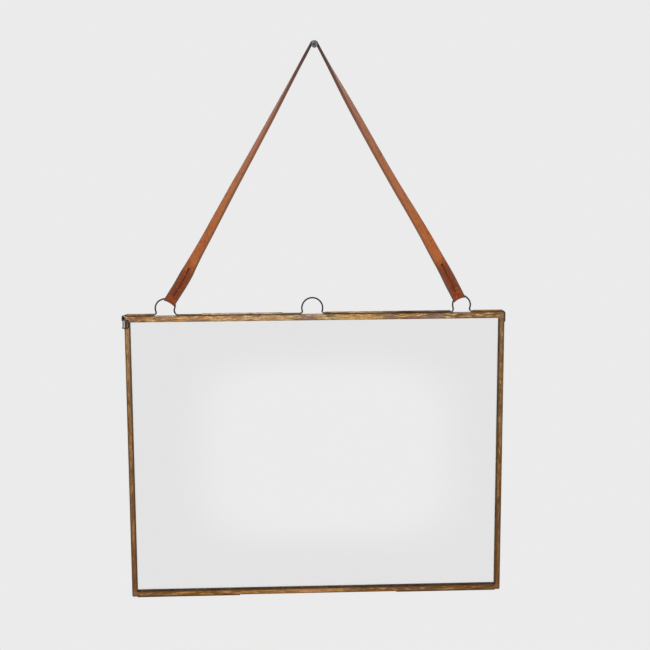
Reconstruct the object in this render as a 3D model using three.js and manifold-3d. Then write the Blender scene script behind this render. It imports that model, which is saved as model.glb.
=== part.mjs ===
// Hanging brass photo frame: two glazed leaves hinged along the bottom, a catch at the top
// left corner, a wire with three hanging loops along the top, and a leather strap over a nail.
//
// Millimetres, +Z up. The frame faces -Y and the wall is the plane Y = 0. The origin is the
// point where the nail enters the wall, straight above the middle of the frame.

import * as THREE from "three";
import { mergeVertices } from "three/addons/utils/BufferGeometryUtils.js";
import Module from "manifold-3d";

const wasm = await Module();
wasm.setup();

// Outline of the frame, and how far it hangs below the nail.
const FRAME_WIDTH = 310;
const FRAME_HEIGHT = 238;
const HANGING_DROP = 216.1;

// Channel of folded sheet brass that holds each pane.
const SHEET = 0.5;
const RAIL_FACE = 4.4;
const INNER_LIP = 3.1;
const EDGE_ROUND = 0.5;
const CORNER_ROUND = 1.4;
const MITRE_GAP = 0.3;
const LEAF_GAP = 0.3;

// Glass, and its play in the channel.
const GLASS_THICKNESS = 1.8;
const GLASS_FACE_PLAY = 0.3;
const GLASS_EDGE_PLAY = 0.3;
const GLASS_TOP_PLAY = 0.9;

// Solder over the corner seams.
const SOLDER_SIZE = 4;
const SOLDER_THICKNESS = 0.2;
const SOLDER_INSET = 0.2;

// Hinge along the bottom: one long knuckle on the front leaf between two on the back leaf.
const HINGE_PIN = 1;
const HINGE_PLAY = 0.25;
const HINGE_WALL = 0.4;
const HINGE_RISE = 0.15;
const HINGE_SWEEP_GAP = 0.3;
const HINGE_KNUCKLE_LEFT = 90;
const HINGE_KNUCKLE_RIGHT = 88;
const HINGE_END_INSET = 3;
const KNUCKLE_GAP = 0.3;
const SKIRT = 0.45;

// Hanging wire with its three loops, and the rolled bead that holds it.
const WIRE = 1.2;
const WIRE_PLAY = 0.3;
const BEAD_WALL = 0.3;
const BEAD_RISE = 0.65;
const BEAD_END_INSET = 1.2;
const BEAD_FRONT_GAP = 0.3;
const WIRE_END_INSET = 0.5;
const LEFT_LOOP_INSET = 33;
const MIDDLE_LOOP_SHIFT = -2.5;
const RIGHT_LOOP_INSET = 35;
const LOOP_CLEARANCE = 0.7;
const WIRE_BARE_LEFT = 20;
const WIRE_BARE_MIDDLE = 14;
const WIRE_BEND = 1.4;
const WIRE_SIDE_GAP = 0.3;
const WIRE_TAIL = 9;
const WIRE_TAIL_HOLD = 0.5;

// Radius of each loop from left to right, height of its centre over the rail, and how far its
// round runs on below that centre, in degrees.
const LOOP_RADII = [7.7, 8.5, 7.3];
const LOOP_RISES = [5.6, 5, 5.6];
const LOOP_NECKS = [20, 16, 20];

// Catch at the top left corner: a bent wire that turns in a small barrel.
const CLIP_WIRE = 1;
const CLIP_PLAY = 0.3;
const CLIP_BEND = 1.2;
const CLIP_DROP = 8.8;
const CLIP_REST_GAP = 0.3;
const CLIP_NOSE_INSET = 2.3;
const CLIP_NOSE_WIDTH = 1.8;
const CLIP_NOSE_HEIGHT = 6.5;
const CLIP_HEAD = 2;
const CLIP_HEAD_RISE = 0.8;
const BARREL_WALL = 0.4;
const BARREL_HEIGHT = 3.2;
const BARREL_TOP_INSET = 0.5;
const BARREL_SIDE_GAP = 0.3;
const BARREL_BACK_INSET = 1.5;
const BARREL_FOOT = 1.8;

// Leather strap, its sewn ends and its thread.
const STRAP_WIDTH = 10;
const STRAP_THICKNESS = 2;
const STRAP_FOLD_PLAY = 0.6;
const STRAP_SEWN_LENGTH = 33;
const STRAP_SEAM_GAP = 0.2;
const STRAP_FOLD_TAPER = 7;
const STRAP_NAIL_GAP = 0.2;
const STRAP_WALL_GAP = 1.5;
const STITCH_WIDTH = 0.7;
const STITCH_HEIGHT = 0.35;
const STITCH_COUNT = 8;
const STITCH_START = 7.5;
const STITCH_END = 2.6;
const STITCH_GAP = 0.2;
const STITCH_HOLE = 0.9;
const STITCH_PLAY = 0.15;
const KNOT_SIZE = 1.3;
const KNOT_HEIGHT = 0.45;
const KNOT_LIFT = 0.05;

// Twist of each leg in degrees, at even steps from its sewn end up to the nail.
const LEFT_TWIST = [0, 48, 61, 71, 79, 87, 90];
const RIGHT_TWIST = [0, 38, 51, 57, 63, 76, 90];

// Nail in the wall.
const NAIL_SHANK = 2.4;
const NAIL_HEAD = 6;
const NAIL_HEAD_THICKNESS = 1.2;
const NAIL_HEAD_GAP = 0.7;
const NAIL_IN_WALL = 20;
const NAIL_POINT = 4;
const NAIL_RIM = 0.4;

// Fineness of the round shapes.
const WIRE_SIDES = 8;
const TUBE_SIDES = 16;
const CORNER_SIDES = 24;
const HEAD_SIDES = 12;
const EDGE_STEPS = 4;
const BEND_STEPS = 5;
const LOOP_STEPS = 24;
const NOSE_STEPS = 10;
const HEAD_STEPS = 4;
const STRAP_STRIPS = 6;
const FOLD_STEPS = 8;
const LEG_STEPS = 22;
const BIGHT_STEPS = 10;

// Places of the strap's rings along a sewn end, closer together near the wire.
const SEWN_SHARES = [0, 0.05, 0.1, 0.15, 0.22, 0.35, 0.5, 0.75, 1];

// Share of a leg's free stretch over which it comes from the front layer to the middle.
const CENTRING_SHARE = 0.3;

// How far a cutting shape runs past what it cuts.
const OVERRUN = 1;

// Places worked out from the sizes above.
const LEAF_DEPTH = 2 * SHEET + GLASS_THICKNESS + 2 * GLASS_FACE_PLAY;
const BACK_FACE_Y = -SOLDER_THICKNESS;
const BACK_LIP_Y = BACK_FACE_Y - LEAF_DEPTH;
const FRONT_LIP_Y = BACK_LIP_Y - LEAF_GAP;
const FRONT_FACE_Y = FRONT_LIP_Y - LEAF_DEPTH;
const SIDE_X = FRAME_WIDTH / 2;
const TOP_Z = -HANGING_DROP;
const BOTTOM_Z = TOP_Z - FRAME_HEIGHT;
const MIDDLE_Z = (TOP_Z + BOTTOM_Z) / 2;

const HINGE_Y = (BACK_LIP_Y + FRONT_LIP_Y) / 2;
const HINGE_Z = BOTTOM_Z + HINGE_RISE;
const HINGE_BORE_RADIUS = HINGE_PIN / 2 + HINGE_PLAY;
const HINGE_RADIUS = HINGE_BORE_RADIUS + HINGE_WALL;
const HINGE_LEFT_X = -SIDE_X + HINGE_KNUCKLE_LEFT;
const HINGE_RIGHT_X = SIDE_X - HINGE_KNUCKLE_RIGHT;

const BORE_RADIUS = WIRE / 2 + WIRE_PLAY;
const BEAD_RADIUS = BORE_RADIUS + BEAD_WALL;
const WIRE_Y = FRONT_LIP_Y + BEAD_FRONT_GAP + BEAD_RADIUS;
const WIRE_Z = TOP_Z + BEAD_RISE;
const LOOPS_X = [-SIDE_X + LEFT_LOOP_INSET, MIDDLE_LOOP_SHIFT, SIDE_X - RIGHT_LOOP_INSET];

const BARREL_RADIUS = CLIP_WIRE / 2 + CLIP_PLAY + BARREL_WALL;
const CLIP_X = -SIDE_X - BARREL_SIDE_GAP - BARREL_RADIUS;
const CLIP_Y = BACK_FACE_Y - BARREL_BACK_INSET;
const CLIP_NOSE_Y = FRONT_FACE_Y - SOLDER_THICKNESS - CLIP_REST_GAP - CLIP_WIRE / 2;
const BARREL_TOP_Z = TOP_Z - BARREL_TOP_INSET;

const STRAP_NAIL_RADIUS = NAIL_SHANK / 2 + STRAP_NAIL_GAP + STRAP_THICKNESS / 2;
const STRAP_NAIL_Y = -STRAP_WALL_GAP - STRAP_WIDTH / 2;
const FOLD_RADIUS = WIRE / 2 + STRAP_FOLD_PLAY + STRAP_THICKNESS / 2;
const SEWN_OFFSET = (STRAP_THICKNESS + STRAP_SEAM_GAP) / 2;
const STITCH_PITCH = (STRAP_SEWN_LENGTH - STITCH_START - STITCH_END) / STITCH_COUNT;

const BRASS = new THREE.MeshStandardMaterial({ color: 0xa8824a, roughness: 0.45, metalness: 1 });
const DARK_BRASS = new THREE.MeshStandardMaterial({ color: 0x6b5a3c, roughness: 0.5, metalness: 1 });
const SOLDER = new THREE.MeshStandardMaterial({ color: 0x8d8370, roughness: 0.55, metalness: 1 });
const STEEL = new THREE.MeshStandardMaterial({ color: 0x7d8285, roughness: 0.4, metalness: 1 });
const LEATHER = new THREE.MeshStandardMaterial({ color: 0xa66a42, roughness: 0.65, metalness: 0 });
const THREAD = new THREE.MeshStandardMaterial({ color: 0x5a2c18, roughness: 0.8, metalness: 0 });
const GLASS = new THREE.MeshStandardMaterial({
  color: 0xe6ecea, roughness: 0.05, metalness: 0, transparent: true, opacity: 0.25,
});

const radians = THREE.MathUtils.degToRad;
const smoothstep = THREE.MathUtils.smoothstep;

// Six times the volume that a closed mesh encloses, negative when its faces point inwards.
function signedVolume(geometry) {
  const position = geometry.getAttribute("position");
  const index = geometry.getIndex();
  const corner = [new THREE.Vector3(), new THREE.Vector3(), new THREE.Vector3()];
  let sum = 0;
  for (let i = 0; i < index.count; i += 3) {
    corner.forEach((point, k) => point.fromBufferAttribute(position, index.getX(i + k)));
    sum += corner[0].dot(corner[1].cross(corner[2]));
  }
  return sum;
}

// Keeps only positions, merges shared vertices and turns the faces outwards.
function welded(geometry) {
  const copy = geometry.clone();
  copy.deleteAttribute("normal");
  copy.deleteAttribute("uv");
  const merged = mergeVertices(copy, 1e-4);
  if (signedVolume(merged) < 0) {
    const index = merged.getIndex();
    for (let i = 0; i < index.count; i += 3) {
      const second = index.getX(i + 1);
      index.setX(i + 1, index.getX(i + 2));
      index.setX(i + 2, second);
    }
  }
  return merged;
}

function toSolid(geometry) {
  const merged = welded(geometry);
  const vertProperties = Float32Array.from(merged.getAttribute("position").array);
  const triVerts = Uint32Array.from(merged.getIndex().array);
  return new wasm.Manifold(new wasm.Mesh({ numProp: 3, vertProperties, triVerts }));
}

function toGeometry(solid) {
  const mesh = solid.getMesh();
  const geometry = new THREE.BufferGeometry();
  geometry.setAttribute("position", new THREE.BufferAttribute(mesh.vertProperties, 3));
  geometry.setIndex(new THREE.BufferAttribute(mesh.triVerts, 1));
  return geometry;
}

function joined(solids) {
  return solids.reduce((whole, solid) => whole.add(solid));
}

function part(name, geometry, material) {
  const mesh = new THREE.Mesh(welded(geometry), material);
  mesh.name = name;
  return mesh;
}

// Round bar from x0 to x1 with its axis along X.
function barAlongX(radius, x0, x1, y, z) {
  const bar = new THREE.CylinderGeometry(radius, radius, x1 - x0, TUBE_SIDES);
  bar.rotateZ(Math.PI / 2);
  bar.translate((x0 + x1) / 2, y, z);
  return bar;
}

// Box given by its lowest and highest corners.
function boxBetween(x0, x1, y0, y1, z0, z1) {
  const box = new THREE.BoxGeometry(x1 - x0, y1 - y0, z1 - z0);
  box.translate((x0 + x1) / 2, (y0 + y1) / 2, (z0 + z1) / 2);
  return box;
}

// Section of the folded channel: x runs in from the outer edge and y from the visible face
// to the lip that faces the other leaf.
function channelSection() {
  const shape = new THREE.Shape();
  shape.moveTo(RAIL_FACE, 0);
  shape.lineTo(EDGE_ROUND, 0);
  shape.absarc(EDGE_ROUND, EDGE_ROUND, EDGE_ROUND, -Math.PI / 2, -Math.PI, true);
  shape.lineTo(0, LEAF_DEPTH - EDGE_ROUND);
  shape.absarc(EDGE_ROUND, LEAF_DEPTH - EDGE_ROUND, EDGE_ROUND, Math.PI, Math.PI / 2, true);
  shape.lineTo(INNER_LIP, LEAF_DEPTH);
  shape.lineTo(INNER_LIP, LEAF_DEPTH - SHEET);
  shape.lineTo(SHEET, LEAF_DEPTH - SHEET);
  shape.lineTo(SHEET, SHEET);
  shape.lineTo(RAIL_FACE, SHEET);
  return shape;
}

// Channel with mitred ends. It runs along the given direction, opens towards inward, and goes
// from its face towards depth. The middle is the middle of its outer edge, on the face.
function mitredChannel(length, middle, along, inward, depth) {
  const geometry = new THREE.ExtrudeGeometry(channelSection(), {
    depth: 1, bevelEnabled: false, curveSegments: EDGE_STEPS,
  });
  const position = geometry.getAttribute("position");
  const point = new THREE.Vector3();
  for (let i = 0; i < position.count; i += 1) {
    const side = position.getZ(i) > 0.5 ? 1 : -1;
    const reach = side * (length / 2 - position.getX(i) - MITRE_GAP / 2);
    point.copy(middle);
    point.addScaledVector(along, reach);
    point.addScaledVector(inward, position.getX(i));
    point.addScaledVector(depth, position.getY(i));
    position.setXYZ(i, point.x, point.y, point.z);
  }
  return geometry;
}

// What is filed off the four outer corners of both leaves: all that lies outside a quarter circle.
function cornerFilings() {
  const reach = CORNER_ROUND + OVERRUN;
  const corners = [[-1, TOP_Z, 1], [1, TOP_Z, 1], [-1, BOTTOM_Z, -1], [1, BOTTOM_Z, -1]];
  return corners.map(([sideX, edgeZ, upZ]) => {
    const x = sideX * (SIDE_X - CORNER_ROUND);
    const z = edgeZ - upZ * CORNER_ROUND;
    const farX = x + sideX * reach;
    const farZ = z + upZ * reach;
    const square = boxBetween(
      Math.min(x, farX), Math.max(x, farX), FRONT_FACE_Y - OVERRUN, BACK_FACE_Y + OVERRUN,
      Math.min(z, farZ), Math.max(z, farZ),
    );
    const depth = BACK_FACE_Y - FRONT_FACE_Y + 4 * OVERRUN;
    const round = new THREE.CylinderGeometry(CORNER_ROUND, CORNER_ROUND, depth, CORNER_SIDES);
    round.translate(x, (BACK_FACE_Y + FRONT_FACE_Y) / 2, z);
    return toSolid(square).subtract(toSolid(round));
  });
}

function withRoundCorners(channel) {
  return toGeometry(toSolid(channel).subtract(joined(cornerFilings())));
}

// The four channels of one leaf. The face plane and the way to the lip tell the leaves apart.
function leafChannels(faceY, lipSide) {
  const right = new THREE.Vector3(1, 0, 0);
  const up = new THREE.Vector3(0, 0, 1);
  const left = right.clone().negate();
  const down = up.clone().negate();
  const depth = new THREE.Vector3(0, lipSide, 0);
  const place = (x, z) => new THREE.Vector3(x, faceY, z);
  const top = mitredChannel(FRAME_WIDTH, place(0, TOP_Z), right, down, depth);
  const bottom = mitredChannel(FRAME_WIDTH, place(0, BOTTOM_Z), right, up, depth);
  const leftUpright = mitredChannel(FRAME_HEIGHT, place(-SIDE_X, MIDDLE_Z), up, right, depth);
  const rightUpright = mitredChannel(FRAME_HEIGHT, place(SIDE_X, MIDDLE_Z), up, left, depth);
  return {
    top: withRoundCorners(top),
    bottom: withRoundCorners(bottom),
    left: withRoundCorners(leftUpright),
    right: withRoundCorners(rightUpright),
  };
}

function pane(name, lipY, lipSide) {
  const nearLip = lipY - lipSide * (SHEET + GLASS_FACE_PLAY);
  const nearFace = nearLip - lipSide * GLASS_THICKNESS;
  const edge = SHEET + GLASS_EDGE_PLAY;
  const geometry = boxBetween(
    -SIDE_X + edge, SIDE_X - edge,
    Math.min(nearLip, nearFace), Math.max(nearLip, nearFace),
    BOTTOM_Z + edge, TOP_Z - SHEET - GLASS_TOP_PLAY,
  );
  return part(name, geometry, GLASS);
}

// Low square of solder with sloping edges, over the seam of one corner.
function solderPatch(name, sideX, upZ, faceY, outward) {
  const half = SOLDER_SIZE / 2;
  const top = half - SOLDER_THICKNESS;
  const centreX = sideX * (SIDE_X - EDGE_ROUND - SOLDER_INSET - half);
  const centreZ = upZ > 0
    ? TOP_Z - EDGE_ROUND - SOLDER_INSET - half
    : BOTTOM_Z + EDGE_ROUND + SOLDER_INSET + half;
  const geometry = new THREE.BoxGeometry(SOLDER_SIZE, SOLDER_THICKNESS, SOLDER_SIZE);
  const position = geometry.getAttribute("position");
  for (let i = 0; i < position.count; i += 1) {
    if (position.getY(i) * outward > 0) {
      position.setX(i, Math.sign(position.getX(i)) * top);
      position.setZ(i, Math.sign(position.getZ(i)) * top);
    }
  }
  geometry.translate(centreX, faceY + outward * SOLDER_THICKNESS / 2, centreZ);
  return part(name, geometry, SOLDER);
}

function solderPatches(leaf, faceY, outward) {
  const corners = [
    ["top_left", -1, 1],
    ["top_right", 1, 1],
    ["bottom_left", -1, -1],
    ["bottom_right", 1, -1],
  ];
  return corners.map(([corner, sideX, upZ]) => (
    solderPatch(`${leaf}_solder_${corner}`, sideX, upZ, faceY, outward)
  ));
}

// Middle, radius and neck angle of the loop at one place, from 0 on the left to 2. The bend
// between loop and straight wire meets both smoothly, and half is the length it all takes up.
function loopAt(place) {
  const radius = LOOP_RADII[place];
  const neckAngle = LOOP_NECKS[place];
  const neck = Math.sin(radians(neckAngle));
  const bend = (LOOP_RISES[place] - radius * neck - BEAD_RISE) / (1 + neck);
  const half = (radius + bend) * Math.cos(radians(neckAngle));
  return { x: LOOPS_X[place], z: TOP_Z + LOOP_RISES[place], radius, neckAngle, bend, half };
}

// Stretches of the top edge where the sheet is rolled round the wire. It is cut away at the
// loops, and further along on the right of the left loop and on the left of the middle one.
function beadStretches() {
  const [left, middle, right] = [0, 1, 2].map((place) => {
    const { x, half } = loopAt(place);
    return { start: x - half - LOOP_CLEARANCE, end: x + half + LOOP_CLEARANCE };
  });
  return [
    [-SIDE_X + BEAD_END_INSET, left.start],
    [left.end + WIRE_BARE_LEFT, middle.start - WIRE_BARE_MIDDLE],
    [middle.end, right.start],
    [right.end, SIDE_X - BEAD_END_INSET],
  ];
}

function backTopRail(channel) {
  const beads = beadStretches().map(([x0, x1]) => toSolid(barAlongX(BEAD_RADIUS, x0, x1, WIRE_Y, WIRE_Z)));
  const bore = barAlongX(BORE_RADIUS, -SIDE_X - OVERRUN, SIDE_X + OVERRUN, WIRE_Y, WIRE_Z);
  const rail = joined([toSolid(channel), ...beads]).subtract(toSolid(bore));
  return part("back_top_rail", toGeometry(rail), BRASS);
}

// Bottom rail of one leaf: its own knuckles are rolled on, and room is cut for the other's.
function hingedRail(name, channel, ownStretches, otherStretches, skirts) {
  let rail = toSolid(channel);
  for (const [x0, x1] of otherStretches) {
    const sweep = barAlongX(HINGE_RADIUS + HINGE_SWEEP_GAP, x0, x1, HINGE_Y, HINGE_Z);
    rail = rail.subtract(toSolid(sweep));
  }
  for (const [x0, x1] of ownStretches) {
    rail = rail.add(toSolid(barAlongX(HINGE_RADIUS, x0, x1, HINGE_Y, HINGE_Z)));
  }
  for (const skirt of skirts) {
    rail = rail.add(toSolid(skirt));
  }
  const bore = barAlongX(HINGE_BORE_RADIUS, -SIDE_X - OVERRUN, SIDE_X + OVERRUN, HINGE_Y, HINGE_Z);
  return part(name, toGeometry(rail.subtract(toSolid(bore))), BRASS);
}

// Apron of the front rail that hides a back knuckle: the face sheet, a little deeper.
function skirt(x0, x1) {
  return boxBetween(
    x0, x1, FRONT_FACE_Y, FRONT_FACE_Y + SHEET, BOTTOM_Z - SKIRT, BOTTOM_Z + EDGE_ROUND + SHEET,
  );
}

function hingedRails(backChannel, frontChannel) {
  const leftEnd = -SIDE_X + HINGE_END_INSET;
  const rightEnd = SIDE_X - HINGE_END_INSET;
  const backKnuckles = [
    [leftEnd, HINGE_LEFT_X - KNUCKLE_GAP / 2],
    [HINGE_RIGHT_X + KNUCKLE_GAP / 2, rightEnd],
  ];
  const frontKnuckles = [[HINGE_LEFT_X + KNUCKLE_GAP / 2, HINGE_RIGHT_X - KNUCKLE_GAP / 2]];
  const roomForBack = [
    [-SIDE_X - OVERRUN, HINGE_LEFT_X + KNUCKLE_GAP / 2],
    [HINGE_RIGHT_X - KNUCKLE_GAP / 2, SIDE_X + OVERRUN],
  ];
  const roomForFront = [[HINGE_LEFT_X - KNUCKLE_GAP / 2, HINGE_RIGHT_X + KNUCKLE_GAP / 2]];
  const skirts = [
    skirt(-SIDE_X + RAIL_FACE, HINGE_LEFT_X),
    skirt(HINGE_RIGHT_X, SIDE_X - RAIL_FACE),
  ];
  return [
    hingedRail("back_bottom_rail", backChannel, backKnuckles, roomForFront, []),
    hingedRail("front_bottom_rail", frontChannel, frontKnuckles, roomForBack, skirts),
  ];
}

function hingePin() {
  const end = SIDE_X - HINGE_END_INSET;
  return part("hinge_pin", barAlongX(HINGE_PIN / 2, -end, end, HINGE_Y, HINGE_Z), DARK_BRASS);
}

// Adds points on an arc in the plane of the loops. Angles are in degrees from +X.
function addArc(points, centreX, centreZ, radius, from, to, steps) {
  for (let i = 0; i <= steps; i += 1) {
    const angle = radians(from + (to - from) * i / steps);
    points.push(new THREE.Vector3(
      centreX + radius * Math.cos(angle), WIRE_Y, centreZ + radius * Math.sin(angle),
    ));
  }
}

// Route of the hanging wire from its left end, through the three loops, to the end that is
// bent down the right side and hooked into the upright.
function hangingWireRoute() {
  const points = [new THREE.Vector3(-SIDE_X + WIRE_END_INSET, WIRE_Y, WIRE_Z)];
  for (const place of [0, 1, 2]) {
    const { x, z, radius, neckAngle, bend, half } = loopAt(place);
    addArc(points, x - half, WIRE_Z + bend, bend, -90, neckAngle, BEND_STEPS);
    addArc(points, x, z, radius, 180 + neckAngle, -neckAngle, LOOP_STEPS);
    addArc(points, x + half, WIRE_Z + bend, bend, 180 - neckAngle, 270, BEND_STEPS);
  }
  const tailX = SIDE_X + WIRE_SIDE_GAP + WIRE / 2;
  const tailZ = WIRE_Z - WIRE_TAIL;
  addArc(points, tailX - WIRE_BEND, WIRE_Z - WIRE_BEND, WIRE_BEND, 90, 0, BEND_STEPS);
  const hook = WIRE_SIDE_GAP + WIRE / 2;
  addArc(points, tailX - hook, tailZ + hook, hook, 0, -90, BEND_STEPS);
  points.push(new THREE.Vector3(SIDE_X - WIRE_TAIL_HOLD, WIRE_Y, tailZ));
  return withoutRepeats(points);
}

function withoutRepeats(points) {
  return points.filter((point, i) => i === 0 || point.distanceTo(points[i - 1]) > 1e-3);
}

// Direction of a route at every point, halfway between those of its two neighbours.
function directionsAlong(points) {
  return points.map((point, i) => {
    const before = points[Math.max(i - 1, 0)];
    const after = points[Math.min(i + 1, points.length - 1)];
    const arriving = point.clone().sub(before).normalize();
    const leaving = after.clone().sub(point).normalize();
    return arriving.add(leaving).normalize();
  });
}

// Round wire along a route of points, with a ring at every point and flat ends.
function wireAlong(points, diameter) {
  const directions = directionsAlong(points);
  const alongY = Math.abs(directions[0].y) > 0.9;
  const across = alongY ? new THREE.Vector3(1, 0, 0) : new THREE.Vector3(0, 1, 0);
  const vertices = [];
  points.forEach((point, i) => {
    across.addScaledVector(directions[i], -across.dot(directions[i])).normalize();
    const other = directions[i].clone().cross(across);
    for (let k = 0; k < WIRE_SIDES; k += 1) {
      const angle = 2 * Math.PI * k / WIRE_SIDES;
      const corner = point.clone();
      corner.addScaledVector(across, Math.cos(angle) * diameter / 2);
      corner.addScaledVector(other, Math.sin(angle) * diameter / 2);
      vertices.push(corner.x, corner.y, corner.z);
    }
  });
  const index = sweptSides(WIRE_SIDES, points.length);
  const last = (points.length - 1) * WIRE_SIDES;
  for (let k = 1; k + 1 < WIRE_SIDES; k += 1) {
    index.push(0, k + 1, k, last, last + k, last + k + 1);
  }
  return indexed(vertices, index);
}

// Triangles between the rings of a sweep, all of one size.
function sweptSides(ringSize, rings) {
  const index = [];
  for (let i = 0; i + 1 < rings; i += 1) {
    for (let k = 0; k < ringSize; k += 1) {
      const a = i * ringSize + k;
      const b = i * ringSize + (k + 1) % ringSize;
      index.push(a, b, a + ringSize, b, b + ringSize, a + ringSize);
    }
  }
  return index;
}

function indexed(vertices, index) {
  const geometry = new THREE.BufferGeometry();
  geometry.setAttribute("position", new THREE.Float32BufferAttribute(vertices, 3));
  geometry.setIndex(index);
  return geometry;
}

function hangingWire() {
  return part("hanging_wire", wireAlong(hangingWireRoute(), WIRE), DARK_BRASS);
}

// Right upright of the back leaf, with the hole that takes the wire's hooked end.
function backRightUpright(channel) {
  const z = WIRE_Z - WIRE_TAIL;
  const hole = barAlongX(BORE_RADIUS, SIDE_X - SHEET - OVERRUN, SIDE_X + OVERRUN, WIRE_Y, z);
  const rail = toSolid(channel).subtract(toSolid(hole));
  return part("back_right_upright", toGeometry(rail), BRASS);
}

// Round bar with its axis upright, in line with the catch's leg.
function barOnCatchAxis(radius, height, middleZ) {
  const bar = new THREE.CylinderGeometry(radius, radius, height, TUBE_SIDES);
  bar.rotateX(Math.PI / 2);
  bar.translate(CLIP_X, CLIP_Y, middleZ);
  return toSolid(bar);
}

// Barrel on the left side of the back leaf, with a flat foot soldered to the upright.
function catchBarrel() {
  const middleZ = BARREL_TOP_Z - BARREL_HEIGHT / 2;
  const barrel = barOnCatchAxis(BARREL_RADIUS, BARREL_HEIGHT, middleZ);
  const bore = barOnCatchAxis(CLIP_WIRE / 2 + CLIP_PLAY, BARREL_HEIGHT + 2 * OVERRUN, middleZ);
  const foot = boxBetween(
    CLIP_X, -SIDE_X, CLIP_Y - BARREL_FOOT / 2, CLIP_Y + BARREL_FOOT / 2,
    BARREL_TOP_Z - BARREL_HEIGHT, BARREL_TOP_Z,
  );
  return part("catch_barrel", toGeometry(barrel.add(toSolid(foot)).subtract(bore)), BRASS);
}

// Adds a quarter turn of the given radius between two directions. The corner is where the two
// straight runs would meet.
function addBend(points, corner, arriving, leaving, radius) {
  const centre = corner.clone().addScaledVector(arriving, -radius).addScaledVector(leaving, radius);
  for (let i = 0; i <= BEND_STEPS; i += 1) {
    const angle = Math.PI / 2 * i / BEND_STEPS;
    const point = centre.clone();
    point.addScaledVector(leaving, -radius * Math.cos(angle));
    point.addScaledVector(arriving, radius * Math.sin(angle));
    points.push(point);
  }
}

// Route of the catch: down from its head through the barrel, forward past the front leaf,
// across its face and up round the oval nose.
function clipRoute() {
  const down = new THREE.Vector3(0, 0, -1);
  const forward = new THREE.Vector3(0, -1, 0);
  const right = new THREE.Vector3(1, 0, 0);
  const up = new THREE.Vector3(0, 0, 1);
  const lowZ = TOP_Z - CLIP_DROP;
  const noseRadius = CLIP_NOSE_WIDTH / 2;
  const noseX = -SIDE_X + CLIP_NOSE_INSET;
  const points = [new THREE.Vector3(CLIP_X, CLIP_Y, BARREL_TOP_Z + CLIP_REST_GAP)];
  addBend(points, new THREE.Vector3(CLIP_X, CLIP_Y, lowZ), down, forward, CLIP_BEND);
  addBend(points, new THREE.Vector3(CLIP_X, CLIP_NOSE_Y, lowZ), forward, right, CLIP_BEND);
  const farX = noseX + noseRadius;
  addBend(points, new THREE.Vector3(farX, CLIP_NOSE_Y, lowZ), right, up, noseRadius);
  const archZ = lowZ + CLIP_NOSE_HEIGHT - noseRadius;
  for (let i = 0; i <= NOSE_STEPS; i += 1) {
    const angle = Math.PI * i / NOSE_STEPS;
    points.push(new THREE.Vector3(
      noseX + noseRadius * Math.cos(angle), CLIP_NOSE_Y, archZ + noseRadius * Math.sin(angle),
    ));
  }
  points.push(new THREE.Vector3(noseX - noseRadius, CLIP_NOSE_Y, lowZ + CLIP_WIRE));
  return withoutRepeats(points);
}

// Low dome that keeps the clip from dropping through its barrel.
function clipHead() {
  const radius = CLIP_HEAD / 2;
  const profile = [new THREE.Vector2(0, 0), new THREE.Vector2(radius, 0)];
  for (let i = 1; i < HEAD_STEPS; i += 1) {
    const angle = Math.PI / 2 * i / HEAD_STEPS;
    profile.push(new THREE.Vector2(radius * Math.cos(angle), CLIP_HEAD_RISE * Math.sin(angle)));
  }
  profile.push(new THREE.Vector2(0, CLIP_HEAD_RISE));
  const head = new THREE.LatheGeometry(profile, HEAD_SIDES);
  head.rotateX(Math.PI / 2);
  head.translate(CLIP_X, CLIP_Y, BARREL_TOP_Z + CLIP_REST_GAP);
  return head;
}

function catchClip() {
  const wire = toSolid(wireAlong(clipRoute(), CLIP_WIRE));
  return part("catch_clip", toGeometry(wire.add(toSolid(clipHead()))), DARK_BRASS);
}

// Straight line of one leg, from the wire in its fold up to where it leaves the nail: the
// tangent from the middle of the loop to the strap's middle line. The left leg's side is -1.
function legLine(side) {
  const { x, z, radius } = loopAt(side < 0 ? 0 : 2);
  const loop = new THREE.Vector2(x, z);
  const angle = loop.angle() + side * Math.acos(STRAP_NAIL_RADIUS / loop.length());
  const end = new THREE.Vector2(Math.cos(angle), Math.sin(angle)).multiplyScalar(STRAP_NAIL_RADIUS);
  const direction = end.clone().sub(loop).normalize();
  const start = loop.clone().addScaledVector(direction, radius);
  return { start, end, direction, radius, length: end.distanceTo(start) };
}

// How far a loop's round falls away from its crown at a distance u to the side of it.
function loopFall(radius, u) {
  return radius - Math.sqrt(radius ** 2 - u ** 2);
}

// Station at a length along a leg, shifted towards the grain side by an offset. It holds the
// strap's middle, its grain normal, and how much it follows the round of its line's loop.
function legStation(side, line, along, offset, twist, follow) {
  const free = (along - STRAP_SEWN_LENGTH) / (line.length - STRAP_SEWN_LENGTH);
  const straight = THREE.MathUtils.clamp(free, 0, 1);
  const lean = (straight + smoothstep(free, 0, 1)) / 2;
  const outward = new THREE.Vector3(side * line.direction.y, 0, -side * line.direction.x);
  const normal = new THREE.Vector3(0, -Math.cos(twist), 0).addScaledVector(outward, Math.sin(twist));
  const centre = new THREE.Vector3(
    line.start.x + line.direction.x * along,
    THREE.MathUtils.lerp(WIRE_Y, STRAP_NAIL_Y, lean),
    line.start.y + line.direction.y * along,
  );
  centre.addScaledVector(normal, offset);
  return { centre, normal, follow, line };
}

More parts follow.
